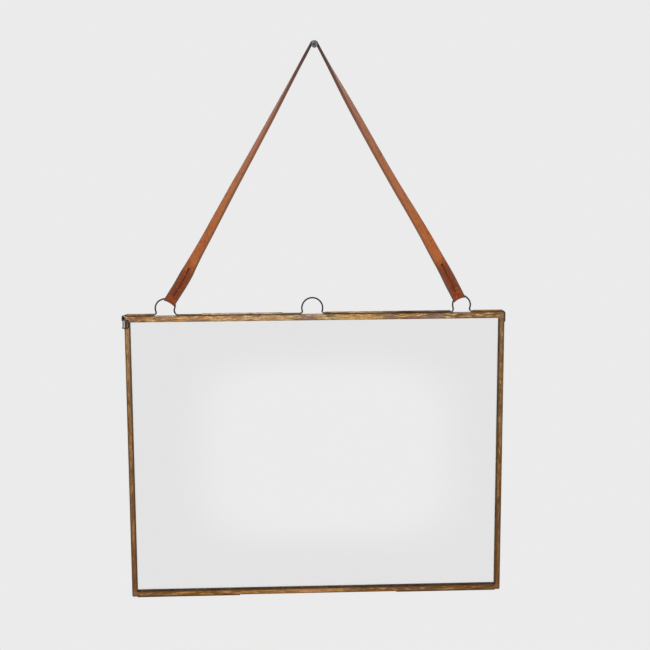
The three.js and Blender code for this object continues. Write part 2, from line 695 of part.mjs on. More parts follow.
// Twist at a share of the way up, on a smooth curve through the table's values.
function twistAt(table, share) {
  const place = share * (table.length - 1);
  const low = Math.min(Math.floor(place), table.length - 2);
  const before = table[Math.max(low - 1, 0)];
  const after = table[Math.min(low + 2, table.length - 1)];
  const t = place - low;
  const slope0 = low === 0 ? table[1] - table[0] : (table[low + 1] - before) / 2;
  const slope1 = (after - table[low]) / 2;
  const t2 = t * t;
  const t3 = t2 * t;
  const value = (2 * t3 - 3 * t2 + 1) * table[low] + (t3 - 2 * t2 + t) * slope0
    + (3 * t2 - 2 * t3) * table[low + 1] + (t3 - t2) * slope1;
  return radians(value);
}

// How much a sewn end still follows the loop's round, from 1 at the wire to 0.
function foldShare(along) {
  return 1 - smoothstep(along, 0, STRAP_SEWN_LENGTH);
}

// Distance of a layer's middle from the seam: the fold's radius at the wire, then the seam's.
function layerOffset(along) {
  const taper = 1 - smoothstep(along, 0, STRAP_FOLD_TAPER);
  return THREE.MathUtils.lerp(SEWN_OFFSET, FOLD_RADIUS, taper);
}

// One layer of a sewn end, from the wire up: the front layer for 1, the back layer for -1.
function sewnLayer(side, line, layer) {
  return SEWN_SHARES.map((share) => {
    const along = share * STRAP_SEWN_LENGTH;
    const station = legStation(side, line, along, layer * layerOffset(along), 0, foldShare(along));
    station.normal.multiplyScalar(layer);
    return station;
  });
}

// The turn round the wire, from the back layer to the front layer.
function foldStations(line) {
  const stations = [];
  for (let i = 1; i < FOLD_STEPS; i += 1) {
    const angle = Math.PI * i / FOLD_STEPS;
    const normal = new THREE.Vector3(
      -line.direction.x * Math.sin(angle), Math.cos(angle), -line.direction.y * Math.sin(angle),
    );
    const centre = new THREE.Vector3(line.start.x, WIRE_Y, line.start.y);
    centre.addScaledVector(normal, FOLD_RADIUS);
    stations.push({ centre, normal, follow: 1, line });
  }
  return stations;
}

// The free stretch between a sewn end and the nail, twisting as it rises.
function freeStations(side, line, twistTable) {
  const stations = [];
  for (let i = 1; i <= LEG_STEPS; i += 1) {
    const share = i / LEG_STEPS;
    const along = THREE.MathUtils.lerp(STRAP_SEWN_LENGTH, line.length, share);
    const offset = SEWN_OFFSET * (1 - smoothstep(share, 0, CENTRING_SHARE));
    stations.push(legStation(side, line, along, offset, twistAt(twistTable, share), 0));
  }
  return stations;
}

// One leg, from its cut end behind, round the wire and up to the nail.
function legStations(side, line, twistTable) {
  return [
    ...sewnLayer(side, line, -1).reverse(),
    ...foldStations(line),
    ...sewnLayer(side, line, 1),
    ...freeStations(side, line, twistTable),
  ];
}

// The turn over the nail, between the upper ends of the two legs.
function bightStations(left, right) {
  const stations = [];
  for (let i = 1; i < BIGHT_STEPS; i += 1) {
    const angle = THREE.MathUtils.lerp(left.end.angle(), right.end.angle(), i / BIGHT_STEPS);
    const normal = new THREE.Vector3(Math.cos(angle), 0, Math.sin(angle));
    const centre = new THREE.Vector3(0, STRAP_NAIL_Y, 0).addScaledVector(normal, STRAP_NAIL_RADIUS);
    stations.push({ centre, normal, follow: 0, line: left });
  }
  return stations;
}

// Ring of points round the strap at a station: across its grain side, then back across its
// flesh side. Travel is the strap's direction there.
function strapRing(station, travel) {
  const across = travel.clone().cross(station.normal).normalize();
  const grain = [];
  const flesh = [];
  for (let k = 0; k <= STRAP_STRIPS; k += 1) {
    const u = STRAP_WIDTH * (k / STRAP_STRIPS - 0.5);
    const fall = station.follow * loopFall(station.line.radius, u);
    const point = station.centre.clone().addScaledVector(across, u);
    point.x -= station.line.direction.x * fall;
    point.z -= station.line.direction.y * fall;
    grain.push(point.clone().addScaledVector(station.normal, STRAP_THICKNESS / 2));
    flesh.push(point.clone().addScaledVector(station.normal, -STRAP_THICKNESS / 2));
  }
  return [...grain, ...flesh.reverse()];
}

// Closed ribbon through the strap's rings, with flat cut ends.
function ribbonThrough(rings) {
  const ringSize = rings[0].length;
  const vertices = rings.flat().flatMap((point) => [point.x, point.y, point.z]);
  const index = sweptSides(ringSize, rings.length);
  const last = (rings.length - 1) * ringSize;
  for (let k = 0; k < STRAP_STRIPS; k += 1) {
    const under = ringSize - 1 - k;
    index.push(k, under, k + 1, k + 1, under, under - 1);
    index.push(last + k, last + k + 1, last + under, last + k + 1, last + under - 1, last + under);
  }
  return indexed(vertices, index);
}

// The strap as one punched ribbon, from the left cut end over the nail to the right one.
function strap() {
  const left = legLine(-1);
  const right = legLine(1);
  const stations = [
    ...legStations(-1, left, LEFT_TWIST),
    ...bightStations(left, right),
    ...legStations(1, right, RIGHT_TWIST).reverse(),
  ];
  const rings = stations.map((station, i) => {
    const before = stations[Math.max(i - 1, 0)].centre;
    const after = stations[Math.min(i + 1, stations.length - 1)].centre;
    return strapRing(station, after.clone().sub(before).normalize());
  });
  const ribbon = toSolid(ribbonThrough(rings));
  const punched = ribbon.subtract(stitchHoles(-1)).subtract(stitchHoles(1));
  return part("strap", toGeometry(punched), LEATHER);
}

// Box that lies along a leg's line, with its middle at a length along the leg and at y.
function boxOnLeg(line, along, y, length, height, width) {
  const box = new THREE.BoxGeometry(length, height, width);
  box.rotateY(-Math.atan2(line.direction.y, line.direction.x));
  box.translate(line.start.x + line.direction.x * along, y, line.start.y + line.direction.y * along);
  return toSolid(box);
}

function holeAlong(i) {
  return STITCH_START + i * STITCH_PITCH;
}

// Holes through both layers of a sewn end, one at each end of every stitch.
function stitchHoles(side) {
  const line = legLine(side);
  const through = 2 * (STRAP_THICKNESS + SEWN_OFFSET);
  const holes = [];
  for (let i = 0; i <= STITCH_COUNT; i += 1) {
    holes.push(boxOnLeg(line, holeAlong(i), WIRE_Y, STITCH_HOLE, through, STITCH_HOLE));
  }
  return joined(holes);
}

// The thread of one sewn end: a stitch between every two holes on the front and on the back,
// joined through the holes, and a knot at the upper end.
function stitching(name, side) {
  const line = legLine(side);
  const surface = SEWN_OFFSET + STRAP_THICKNESS / 2;
  const thread = STITCH_HOLE - 2 * STITCH_PLAY;
  const pieces = [];
  for (let i = 0; i <= STITCH_COUNT; i += 1) {
    pieces.push(boxOnLeg(line, holeAlong(i), WIRE_Y, thread, 2 * surface + STITCH_HEIGHT, thread));
  }
  const length = STITCH_PITCH - STITCH_GAP;
  for (const outward of [-1, 1]) {
    const y = WIRE_Y + outward * (surface + STITCH_HEIGHT / 2);
    for (let i = 0; i < STITCH_COUNT; i += 1) {
      const along = (holeAlong(i) + holeAlong(i + 1)) / 2;
      pieces.push(boxOnLeg(line, along, y, length, STITCH_HEIGHT, STITCH_WIDTH));
    }
  }
  const knotY = WIRE_Y - surface - KNOT_LIFT - KNOT_HEIGHT / 2;
  pieces.push(boxOnLeg(line, holeAlong(STITCH_COUNT), knotY, KNOT_SIZE, KNOT_HEIGHT, KNOT_SIZE));
  return part(name, toGeometry(joined(pieces)), THREAD);
}

// Round nail: its point in the wall, its shank under the strap and its flat head in front.
function nail() {
  const headBack = -STRAP_NAIL_Y + STRAP_WIDTH / 2 + NAIL_HEAD_GAP;
  const headFront = headBack + NAIL_HEAD_THICKNESS;
  const shank = NAIL_SHANK / 2;
  const head = NAIL_HEAD / 2;
  const profile = [
    new THREE.Vector2(0, -NAIL_IN_WALL),
    new THREE.Vector2(shank, -NAIL_IN_WALL + NAIL_POINT),
    new THREE.Vector2(shank, headBack),
    new THREE.Vector2(head - NAIL_RIM, headBack),
    new THREE.Vector2(head, headBack + NAIL_RIM),
    new THREE.Vector2(head, headFront - NAIL_RIM),
    new THREE.Vector2(head - NAIL_RIM, headFront),
    new THREE.Vector2(0, headFront),
  ];
  const geometry = new THREE.LatheGeometry(profile, TUBE_SIDES);
  geometry.rotateX(Math.PI);
  return part("hanging_nail", geometry, STEEL);
}

function backLeaf() {
  const channels = leafChannels(BACK_FACE_Y, -1);
  return {
    channels,
    parts: [
      backTopRail(channels.top),
      part("back_left_upright", channels.left, BRASS),
      backRightUpright(channels.right),
      pane("back_glass", BACK_LIP_Y, -1),
      ...solderPatches("back", BACK_FACE_Y, 1),
      hingePin(),
      hangingWire(),
      catchBarrel(),
    ],
  };
}

function frontLeaf() {
  const channels = leafChannels(FRONT_FACE_Y, 1);
  return {
    channels,
    parts: [
      part("front_top_rail", channels.top, BRASS),
      part("front_left_upright", channels.left, BRASS),
      part("front_right_upright", channels.right, BRASS),
      pane("front_glass", FRONT_LIP_Y, 1),
      ...solderPatches("front", FRONT_FACE_Y, -1),
    ],
  };
}

const frame = new THREE.Group();
frame.name = "brass_photo_frame";
const back = backLeaf();
const front = frontLeaf();
frame.add(...back.parts, ...front.parts);
frame.add(...hingedRails(back.channels.bottom, front.channels.bottom));
frame.add(catchClip());
frame.add(strap());
frame.add(stitching("strap_stitching_left", -1));
frame.add(stitching("strap_stitching_right", 1));
frame.add(nail());

export default frame;
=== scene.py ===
# %% [markdown]
# # Dressing a hanging brass frame
#
# The CAD model of this frame is exact but bare: every rail is one flat colour and the leather is
# a plain ribbon. Here it gets its camera, light, leather strap with thread, bent wire, nail,
# solder and old brass. Everything is in metres, in the CAD model's frame: the nail enters the
# wall at the origin, and the frame hangs below it and faces -Y. The steps are short on purpose.

# %% Load the frame as the workshop packed it
from math import acos, atan2, cos, hypot, pi, radians, sin, sqrt

import bpy
from mathutils import Matrix, Vector, noise


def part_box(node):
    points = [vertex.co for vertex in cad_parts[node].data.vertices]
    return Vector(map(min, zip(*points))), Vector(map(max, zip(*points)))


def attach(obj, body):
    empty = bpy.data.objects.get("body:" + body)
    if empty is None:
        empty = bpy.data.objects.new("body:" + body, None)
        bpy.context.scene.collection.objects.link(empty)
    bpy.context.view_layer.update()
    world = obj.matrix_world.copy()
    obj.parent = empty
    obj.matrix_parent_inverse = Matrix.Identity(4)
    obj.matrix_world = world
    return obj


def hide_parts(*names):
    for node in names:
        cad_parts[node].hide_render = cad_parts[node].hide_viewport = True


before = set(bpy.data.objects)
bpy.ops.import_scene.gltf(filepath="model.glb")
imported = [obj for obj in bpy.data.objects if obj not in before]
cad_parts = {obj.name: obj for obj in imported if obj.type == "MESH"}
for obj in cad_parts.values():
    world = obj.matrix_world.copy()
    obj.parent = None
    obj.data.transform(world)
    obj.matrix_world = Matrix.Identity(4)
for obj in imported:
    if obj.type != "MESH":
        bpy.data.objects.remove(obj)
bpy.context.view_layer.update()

# %% [markdown]
# ## Small lengths
#
# Fine metalwork is thought of in millimetres, while Blender works in metres here. One short
# function makes the step between them.

# %% Millimetres
MM = 0.001


def mm(*lengths):
    """Lengths in millimetres, as metres: one number, or a point."""
    if len(lengths) == 1:
        return lengths[0] * MM
    return Vector(lengths) * MM


# %% [markdown]
# ## The camera
#
# A photograph of a small object is taken from about a metre away with a fairly long lens, so
# that its parallel edges stay nearly parallel. Here the camera is almost level with the nail and
# looks down at the frame, which is why the tops of the rails just show.

# %% Set up the camera
camera_data = bpy.data.cameras.new("portrait_lens")
camera_data.sensor_width = 36
camera_data.lens = 79.2
camera = bpy.data.objects.new("portrait_camera", camera_data)
bpy.context.scene.collection.objects.link(camera)
camera.location = mm(-46.14, -1153.23, -17.57)
camera.rotation_euler = [radians(angle) for angle in (79.7749, 0.2385, -2.7302)]
bpy.context.scene.camera = camera
print("camera at", [round(value, 3) for value in camera.location])

# %% [markdown]
# ## Paint, and arithmetic for materials
#
# A material in Blender is a web of nodes. Written out by hand, even one sum takes four lines, so
# a small class wraps a node's socket: adding or multiplying two readings puts in the Math node
# that does it. The recipe keeps the web, and one method adds every other kind of node. Most
# finishes are a ramp of tones with thin coats over it, and both are written as tables.


# %% A paint chip
def tone(red, green, blue):
    """The colour of a paint chip, each part from 0 to 255, as linear light."""
    parts = []
    for part in (red, green, blue):
        share = part / 255
        parts.append(share / 12.92 if share <= 0.04045 else ((share + 0.055) / 1.055) ** 2.4)
    return (*parts, 1.0)


PAPER = tone(235, 235, 235)
PALE = PAPER[0]
print("pale background in linear light:", round(PALE, 3))


# %% Readings that can be added and multiplied
class Reading:
    """A value, colour or vector that comes out of a node of a recipe."""

    def __init__(self, recipe, socket):
        self.recipe = recipe
        self.socket = socket

    def __add__(self, other):
        return self.recipe.reckon("ADD", self, other)

    def __sub__(self, other):
        return self.recipe.reckon("SUBTRACT", self, other)

    def __rsub__(self, other):
        return self.recipe.reckon("SUBTRACT", other, self)

    def __mul__(self, other):
        return self.recipe.reckon("MULTIPLY", self, other)

    def __truediv__(self, other):
        return self.recipe.reckon("DIVIDE", self, other)

    def __abs__(self):
        return self.recipe.reckon("ABSOLUTE", self, 0.0)


# %% Recipes, which hold the nodes of one finish
class Recipe:
    """The nodes of one finish, of the world's light or of the floor."""

    def __init__(self, tree):
        self.tree = tree
        tree.nodes.clear()

    def node(self, kind, inputs=None, output=0, **settings):
        """Adds a node: its settings first, then the values or readings of its inputs."""
        made = self.tree.nodes.new("ShaderNode" + kind)
        for name, value in settings.items():
            setattr(made, name, value)
        for name, value in (inputs or {}).items():
            if isinstance(value, Reading):
                self.tree.links.new(value.socket, made.inputs[name])
            else:
                made.inputs[name].default_value = value
        return Reading(self, made.outputs[output]) if made.outputs else None

    def reckon(self, operation, first, second):
        return self.node("Math", {0: first, 1: second}, operation=operation)

    def place(self):
        """Where a point of the object is, in millimetres."""
        spot = self.node("TexCoord", output="Object")
        return self.node("VectorMath", {0: spot, "Scale": 1 / MM}, operation="SCALE")

    def axis(self, vector, name):
        return self.node("SeparateXYZ", {0: vector}, name)

    def stretched(self, vector, amounts, shift=(0, 0, 0)):
        inputs = {0: vector, 1: amounts, 2: shift}
        return self.node("VectorMath", inputs, operation="MULTIPLY_ADD")

    def mottle(self, vector, scale, detail, roughness, distortion=0.0):
        """Noise, which a scale of three numbers draws out."""
        if isinstance(scale, tuple):
            vector, scale = self.stretched(vector, scale), 1.0
        inputs = {"Vector": vector, "Scale": scale, "Detail": detail}
        inputs.update({"Roughness": roughness, "Distortion": distortion})
        return self.node("TexNoise", inputs, "Fac")

    def smooth(self, value, zero_at, one_at):
        """A soft step from 0 to 1, in either direction."""
        inputs = {"Value": value, "From Min": zero_at, "From Max": one_at}
        return self.node("MapRange", inputs, interpolation_type="SMOOTHSTEP")

    def ramp(self, value, stops):
        """A colour from a row of stops, each a place and the parts of a paint chip."""
        colour = self.node("ValToRGB", {0: value}, "Color")
        elements = colour.socket.node.color_ramp.elements
        for stop in stops[2:]:
            elements.new(stop[0])
        for element, (place, *paint) in zip(elements, stops):
            element.position = place
            element.color = tone(*paint)
        return colour

    def blend(self, share, below, above):
        """A colour between two colours."""
        inputs = {0: share, 6: below, 7: above}
        return self.node("Mix", inputs, 2, data_type="RGBA", clamp_factor=True)

    def coated(self, colour, *coats):
        """A colour under thin coats: each a reading, its soft step, its strength and its paint."""
        for reading, zero_at, one_at, strength, paint in coats:
            above = paint if isinstance(paint, Reading) else tone(*paint)
            colour = self.blend(self.smooth(reading, zero_at, one_at) * strength, colour, above)
        return colour

    def between(self, share, below, above):
        """A value between two values."""
        return self.node("Mix", {0: share, 2: below, 3: above}, data_type="FLOAT")

    def relief(self, height, depth, strength):
        inputs = {"Height": height, "Distance": mm(depth), "Strength": strength}
        return self.node("Bump", inputs)

    def surface(self, colour, roughness, normal, metallic=0.0, specular=0.5, others=None):
        """The finish itself: one Principled shader."""
        inputs = {"Base Color": colour, "Roughness": roughness, "Normal": normal}
        inputs.update({"Metallic": metallic, "Specular IOR Level": specular, **(others or {})})
        self.node("OutputMaterial", {"Surface": self.node("BsdfPrincipled", inputs)})


def new_finish(name):
    material = bpy.data.materials.new(name)
    material.use_nodes = True
    return material, Recipe(material.node_tree)

# %% [markdown]
# ## The studio
#
# The frame was photographed against plain pale paper. The world shows that tone to the camera,
# behind the metal and through the glass. The room in front is a little darker, with one soft
# bright window: glass shows them as a faint veil with a clear patch, and brass as its shading.
# Plain daylight reaches the leather. The window lies a little below the frame, where a camera
# that looks down at the glass finds its reflection.

# %% Paint the world
WINDOW_X, WINDOW_Z = 0.046, -0.262
WINDOW_HALF_WIDTH, WINDOW_HALF_HEIGHT = 0.0855, 0.058
ROOM_TONE, WINDOW_TONE, DAYLIGHT = 0.5, 1.0, 0.55

world = bpy.data.worlds.new("pale_studio")
bpy.context.scene.world = world
world.use_nodes = True
studio = Recipe(world.node_tree)
ray = studio.node("TexCoord", output="Generated")
ray_x, ray_y, ray_z = (studio.axis(ray, name) for name in "XYZ")
in_front = studio.smooth(ray_y, 0.25, -0.45)
across = (ray_x - WINDOW_X) / WINDOW_HALF_WIDTH
upward = (ray_z - WINDOW_Z) / WINDOW_HALF_HEIGHT
across, upward = across * across, upward * upward
# The sum of fourth powers makes an oblong with round corners, where squares would make an oval.
from_window = studio.reckon("POWER", across * across + upward * upward, 0.25)
window = studio.smooth(from_window, 1.3, 0.75)
room = studio.between(in_front, PALE, ROOM_TONE)
mirrored = studio.between(window * in_front, room, WINDOW_TONE)
mirrorings = studio.node("LightPath", output="Glossy Depth")
is_mirrored = studio.reckon("MINIMUM", mirrorings, 1.0)
is_diffuse = studio.node("LightPath", output="Is Diffuse Ray")
seen = studio.between(is_mirrored, PALE, mirrored)
strength = studio.between(is_diffuse, seen, DAYLIGHT)
light = studio.node("Background", {"Color": (1, 1, 1, 1), "Strength": strength})
studio.node("OutputWorld", {"Surface": light})
print("world nodes:", len(world.node_tree.nodes))

# %% [markdown]
# ## Lamps and floor
#
# Three wide suns stand for big soft boxes: one high on the left in front, a weaker one on the
# right and one behind, so that the back of the frame isn't lost. None of them is seen through
# the glass, where it would be a white disc. The floor is far below, because the frame hangs on
# a wall. It is as pale as the paper and keeps a faint shadow.


# %% Hang the lamps
def soft_sun(name, coming_from, strength, spread):
    lamp = bpy.data.lights.new(name, "SUN")
    lamp.energy = strength
    lamp.angle = radians(spread)
    holder = bpy.data.objects.new(name, lamp)
    bpy.context.scene.collection.objects.link(holder)
    holder.rotation_euler = Vector(coming_from).to_track_quat("Z", "Y").to_euler()
    holder.visible_transmission = False
    print(name, "shines from", coming_from)


soft_sun("key_box", (-0.4, -0.75, 0.65), 1.15, 60)
soft_sun("fill_box", (0.6, -0.8, 0.25), 0.5, 70)
soft_sun("back_box", (0.2, 0.8, 0.5), 0.6, 70)

# %% Lay the floor
FLOOR_SIZE, FLOOR_Z = 4, -1.35
GLOW, GLOW_SHARE = 1.015, 0.85

bpy.ops.object.select_all(action="DESELECT")
bpy.ops.mesh.primitive_plane_add(size=FLOOR_SIZE, location=(0, 0, FLOOR_Z))
floor = bpy.context.object
floor.name = "studio_floor"
paper, paper_recipe = new_finish("floor_paper")
lit = paper_recipe.node("BsdfDiffuse", {"Color": PAPER})
plain = paper_recipe.node("Emission", {"Color": PAPER, "Strength": GLOW})
sheet = paper_recipe.node("MixShader", {0: GLOW_SHARE, 1: lit, 2: plain})
paper_recipe.node("OutputMaterial", {"Surface": sheet})
floor.data.materials.append(paper)
print("floor at", floor.location.z)

# %% [markdown]
# ## Workbench habits
#
# An operator works on everything that is selected, so each step starts with empty hands. A
# finished piece has its place in its mesh, with its object at the origin, as the CAD nodes have:
# then patterns stay where they are when the piece turns on a joint.


# %% Picking up and putting down
def mode(name):
    bpy.ops.object.mode_set(mode=name)


def empty_hands():
    if bpy.context.mode != "OBJECT":
        mode("OBJECT")
    bpy.ops.object.select_all(action="DESELECT")


def take(*pieces):
    empty_hands()
    for piece in pieces:
        piece.select_set(True)
    bpy.context.view_layer.objects.active = pieces[0]
    return pieces[0]


def settle(name):
    """Names the piece just made and puts its place, turn and size into its mesh."""
    piece = take(bpy.context.object)
    bpy.ops.object.transform_apply(location=True, rotation=True, scale=True)
    piece.name = piece.data.name = name
    return piece


def apply_with(piece, kind, **settings):
    """Adds a modifier, sets it and applies it."""
    take(piece)
    modifier = piece.modifiers.new(kind.lower(), kind)
    for name, value in settings.items():
        setattr(modifier, name, value)
    bpy.ops.object.modifier_apply(modifier=modifier.name)


def edit_whole():
    mode("EDIT")
    bpy.ops.mesh.select_all(action="SELECT")


def edit_faces(piece, wanted):
    """Opens the piece for editing, with the faces selected whose normal suits."""
    take(piece)
    mode("EDIT")
    bpy.ops.mesh.select_mode(type="FACE")
    bpy.ops.mesh.select_all(action="DESELECT")
    mode("OBJECT")
    for face in piece.data.polygons:
        face.select = wanted(face.normal)
    mode("EDIT")


def extrude(offset):
    bpy.ops.mesh.extrude_region_move(TRANSFORM_OT_translate={"value": offset})


def smooth_faces(piece, degrees):
    take(piece)
    bpy.ops.object.shade_smooth_by_angle(angle=radians(degrees))


def round_off(piece):
    apply_with(piece, "SUBSURF", levels=1, render_levels=1)
    smooth_faces(piece, 60)


def hand_in(piece, body, replaced, finish):
    """The piece rides on its body, names its finish and stands for the CAD node it replaces."""
    piece.data.materials.append(finish)
    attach(piece, body)
    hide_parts(*replaced)
    print(piece.name, "faces:", len(piece.data.polygons))

# %% [markdown]
# ## The line of the strap
#
# One strip of leather goes from the left loop over the nail to the right loop. Each end is
# folded round its loop of wire and sewn to itself for 33 mm. Between the sewn ends and the nail
# the strip turns a quarter about its own length, because the loops lie flat on the wall while
# the nail sticks out of it. All of that is found here, as a row of stations along the strip.

# %% Measures of the strap
STRAP_WIDE, STRAP_THICK = 10.0, 2.0
WIDTH_WANDER, LINE_WANDER = 0.022, 0.12  # how unevenly it was cut: a share, and millimetres
LEG_THICK, SWELLS, SLIMS = 2.4, (120, 205), (222, 235)  # the upper leg, and where it is thick
SEWN, SEAM = 33.0, 0.1  # length of a sewn end, and half the gap between its layers
SKIVED, FOLD_TAPER = 0.7, 7.0  # pared thickness at the fold, and the run to full thickness
FEATHERED, FEATHER_RUN = 0.6, 7.0  # thickness of the hidden end, and the run down to it
FOLD_CLEAR, FOLD_LIFT = 1.35, 0.4  # half the room for the wire, and the fold's middle past it
FOLD_FOLLOW, FOLLOW_RUN = {-1: 0.4, 1: 0.5}, SEWN * 0.75  # how far it takes the loop's curve
HIDDEN_END_SHIFT = 0.8
WIRE_Y, NAIL_Y = -2.4, -6.5
NAIL_TURN = 2.28  # radius of the turn over the nail, at the strip's middle
LOOP_CENTRES = {-1: (-122.0, -210.5, 7.7), 1: (120.0, -210.5, 7.3)}  # x, z and radius
# Along each leg, from its loop up: lengths, degrees of twist and steps to the outside.
HEIGHTS = [0, 8, 16, 24, 33, 45, 60, 80, 105, 135, 165, 190, 212, 236]
TWISTS = {
    -1: [0, 0, 1, 11, 33, 46, 52, 57, 64, 71.5, 78, 85, 90, 90],
    1: [0, 8, 14, 18, 23.5, 31, 39, 46, 53, 57, 62, 71, 83, 90],
}
SIDESTEPS = {
    -1: [-0.5, -0.9, -1.4, -1.75, -2.0, -2.1, -1.9, -1.3, -1.0, -1.0, -0.9, -0.6, -0.3, 0],
    1: [1.0, 1.3, 1.5, 1.5, 1.3, 1.2, 1.3, 1.1, 0.3, -0.2, -0.35, -0.4, -0.3, 0],
}


# %% Stations along one leg
def soft_step(value, low, high):
    share = min(max((value - low) / (high - low), 0.0), 1.0)
    return share * share * (3 - 2 * share)


def from_table(values, along):
    """A smooth curve through the values that a table has at HEIGHTS."""
    along = min(max(along, HEIGHTS[0]), HEIGHTS[-1])
    k = max(i for i in range(len(HEIGHTS) - 1) if HEIGHTS[i] <= along)
    slopes = []
    for i in (k, k + 1):
        before, after = max(i - 1, 0), min(i + 1, len(HEIGHTS) - 1)
        slopes.append((values[after] - values[before]) / (HEIGHTS[after] - HEIGHTS[before]))
    run = HEIGHTS[k + 1] - HEIGHTS[k]
    t = (along - HEIGHTS[k]) / run
    rise = values[k + 1] - values[k]
    bend0 = run * slopes[0] - rise
    bend1 = -run * slopes[1] + rise
    return values[k] + t * rise + t * (1 - t) * ((1 - t) * bend0 + t * bend1)


def leg_line(side):
    """The straight line of a leg, from the crown of its loop to the turn over the nail."""
    loop_x, loop_z, loop_radius = LOOP_CENTRES[side]
    loop = Vector((loop_x, loop_z))
    angle = atan2(loop_z, loop_x) + side * acos(NAIL_TURN / loop.length)
    end = NAIL_TURN * Vector((cos(angle), sin(angle)))
    direction = (end - loop).normalized()
    start = loop + (loop_radius + FOLD_LIFT) * direction
    return {
        "side": side, "start": start, "end": end, "direction": direction,
        "radius": loop_radius, "length": (end - start).length,
    }


def thickness_at(along, layer):
    """The strip is pared thinner at the fold, and its hidden end runs out thin."""
    thick = SKIVED + (STRAP_THICK - SKIVED) * soft_step(along, 0, FOLD_TAPER)
    if layer < 0:
        return thick + (FEATHERED - STRAP_THICK) * soft_step(along, SEWN - FEATHER_RUN, SEWN)
    swollen = soft_step(along, *SWELLS) * (1 - soft_step(along, *SLIMS))
    return thick + (LEG_THICK - STRAP_THICK) * swollen


def layer_offset(along, layer):
    """From the middle of the doubled strap to the middle of one layer."""
    inner = FOLD_CLEAR + (SEAM - FOLD_CLEAR) * soft_step(along, 0, FOLD_TAPER)
    return inner + thickness_at(along, layer) / 2


def leg_station(line, along, offset, follow=0.0, layer=1):
    """The strip's middle, the direction of its grain side and its thickness, along a leg."""
    side, direction = line["side"], line["direction"]
    twist = radians(from_table(TWISTS[side], along))
    aside = from_table(SIDESTEPS[side], along)
    if layer < 0:
        aside += HIDDEN_END_SHIFT * soft_step(along, 10, 30)
    free = (along - SEWN) / (line["length"] - SEWN)
    lean = (min(max(free, 0.0), 1.0) + soft_step(free, 0, 1)) / 2
    outward = Vector((side * direction.y, 0, -side * direction.x))
    normal = Vector((0, -cos(twist), 0)) + sin(twist) * outward
    middle = Vector((
        line["start"].x + direction.x * along,
        WIRE_Y + lean * (NAIL_Y - WIRE_Y),
        line["start"].y + direction.y * along,
    ))
    middle += aside * outward + layer * offset * normal
    return {
        "middle": middle, "normal": layer * normal, "follow": follow, "line": line,
        "aside": aside, "thick": thickness_at(along, layer),
    }


# %% Stations of a whole leg, and of the turn over the nail
SEWN_STEPS, FOLD_STEPS, FREE_STEPS, TURN_STEPS = 22, 16, 90, 20
CROWDING = 1.15  # the stations of a sewn end lie closer together near the fold
FOLD_TURN = FOLD_CLEAR + SKIVED / 2


def sewn_layer(line, layer):
    stations = []
    for i in range(SEWN_STEPS + 1):
        along = SEWN * (i / SEWN_STEPS) ** CROWDING
        follow = FOLD_FOLLOW[line["side"]] * (1 - soft_step(along, 0, FOLLOW_RUN))
        stations.append(leg_station(line, along, layer_offset(along, layer), follow, layer))
    return stations


def fold_round_wire(line):
    first = leg_station(line, 0, 0, FOLD_FOLLOW[line["side"]])
    stations = []
    for i in range(1, FOLD_STEPS):
        angle = pi * i / FOLD_STEPS
        towards = -sin(angle) * line["direction"]
        normal = Vector((towards.x, cos(angle), towards.y))
        middle = first["middle"] + FOLD_TURN * normal
        stations.append({**first, "middle": middle, "normal": normal})
    return stations


def free_stretch(line):
    """The single strip, which comes back from the front layer to the leg's middle line."""
    stations = []
    for i in range(1, FREE_STEPS + 1):
        share = i / FREE_STEPS
        along = SEWN + share * (line["length"] - SEWN)
        offset = (SEAM + STRAP_THICK / 2) * (1 - soft_step(share, 0, 0.3))
        stations.append(leg_station(line, along, offset))
    return stations


def whole_leg(line):
    hidden, shown = sewn_layer(line, -1)[::-1], sewn_layer(line, 1)
    return hidden + fold_round_wire(line) + shown + free_stretch(line)


def turn_over_nail(left, right):
    low, high = (atan2(line["end"].y, line["end"].x) for line in (left, right))
    stations = []
    for i in range(1, TURN_STEPS):
        angle = low + (high - low) * i / TURN_STEPS
        normal = Vector((cos(angle), 0, sin(angle)))
        stations.append({
            "middle": Vector((0, NAIL_Y, 0)) + NAIL_TURN * normal, "normal": normal,
            "follow": 0.0, "line": left, "aside": 0.0, "thick": STRAP_THICK,
        })
    return stations


left_line, right_line = leg_line(-1), leg_line(1)
stations = whole_leg(left_line) + turn_over_nail(left_line, right_line)
stations += whole_leg(right_line)[::-1]
print("stations:", len(stations), "left leg:", round(left_line["length"], 1), "mm")

# %% [markdown]
# ## The strap
#
# A strip of leather starts as what it is, a flat grid. Every row of the grid is then laid on its
# station, which folds, twists and bends it without stretching its pattern, since the UV map
# keeps the flat strip's own millimetres. Solidify gives it thickness, with the rough flesh side
# and the cut edges in finishes of their own, and a bevel rounds the edges as a slicker does.

# %% Lay a flat grid along the stations
COLUMNS = 8


def travel_at(row):
    before, after = stations[max(row - 1, 0)], stations[min(row + 1, len(stations) - 1)]
    return (after["middle"] - before["middle"]).normalized()


def loop_fall(radius, u):
    """How far a round loop falls away, at a distance u to the side of its crown."""
    return radius - sqrt(radius ** 2 - min(abs(u), radius * 0.98) ** 2)


def strip_point(row, u):
    """A point of the strip at a distance u to the side of its middle line, in millimetres."""
    station = stations[row]
    across = travel_at(row).cross(station["normal"]).normalized()
    direction = station["line"]["direction"]
    fall = station["follow"] * loop_fall(station["line"]["radius"], u - station["aside"])
    point = station["middle"] + u * across
    return point - fall * Vector((direction.x, 0, direction.y))


run = [0.0]
for here, there in zip(stations, stations[1:]):
    run.append(run[-1] + (there["middle"] - here["middle"]).length)
strap_length = run[-1]

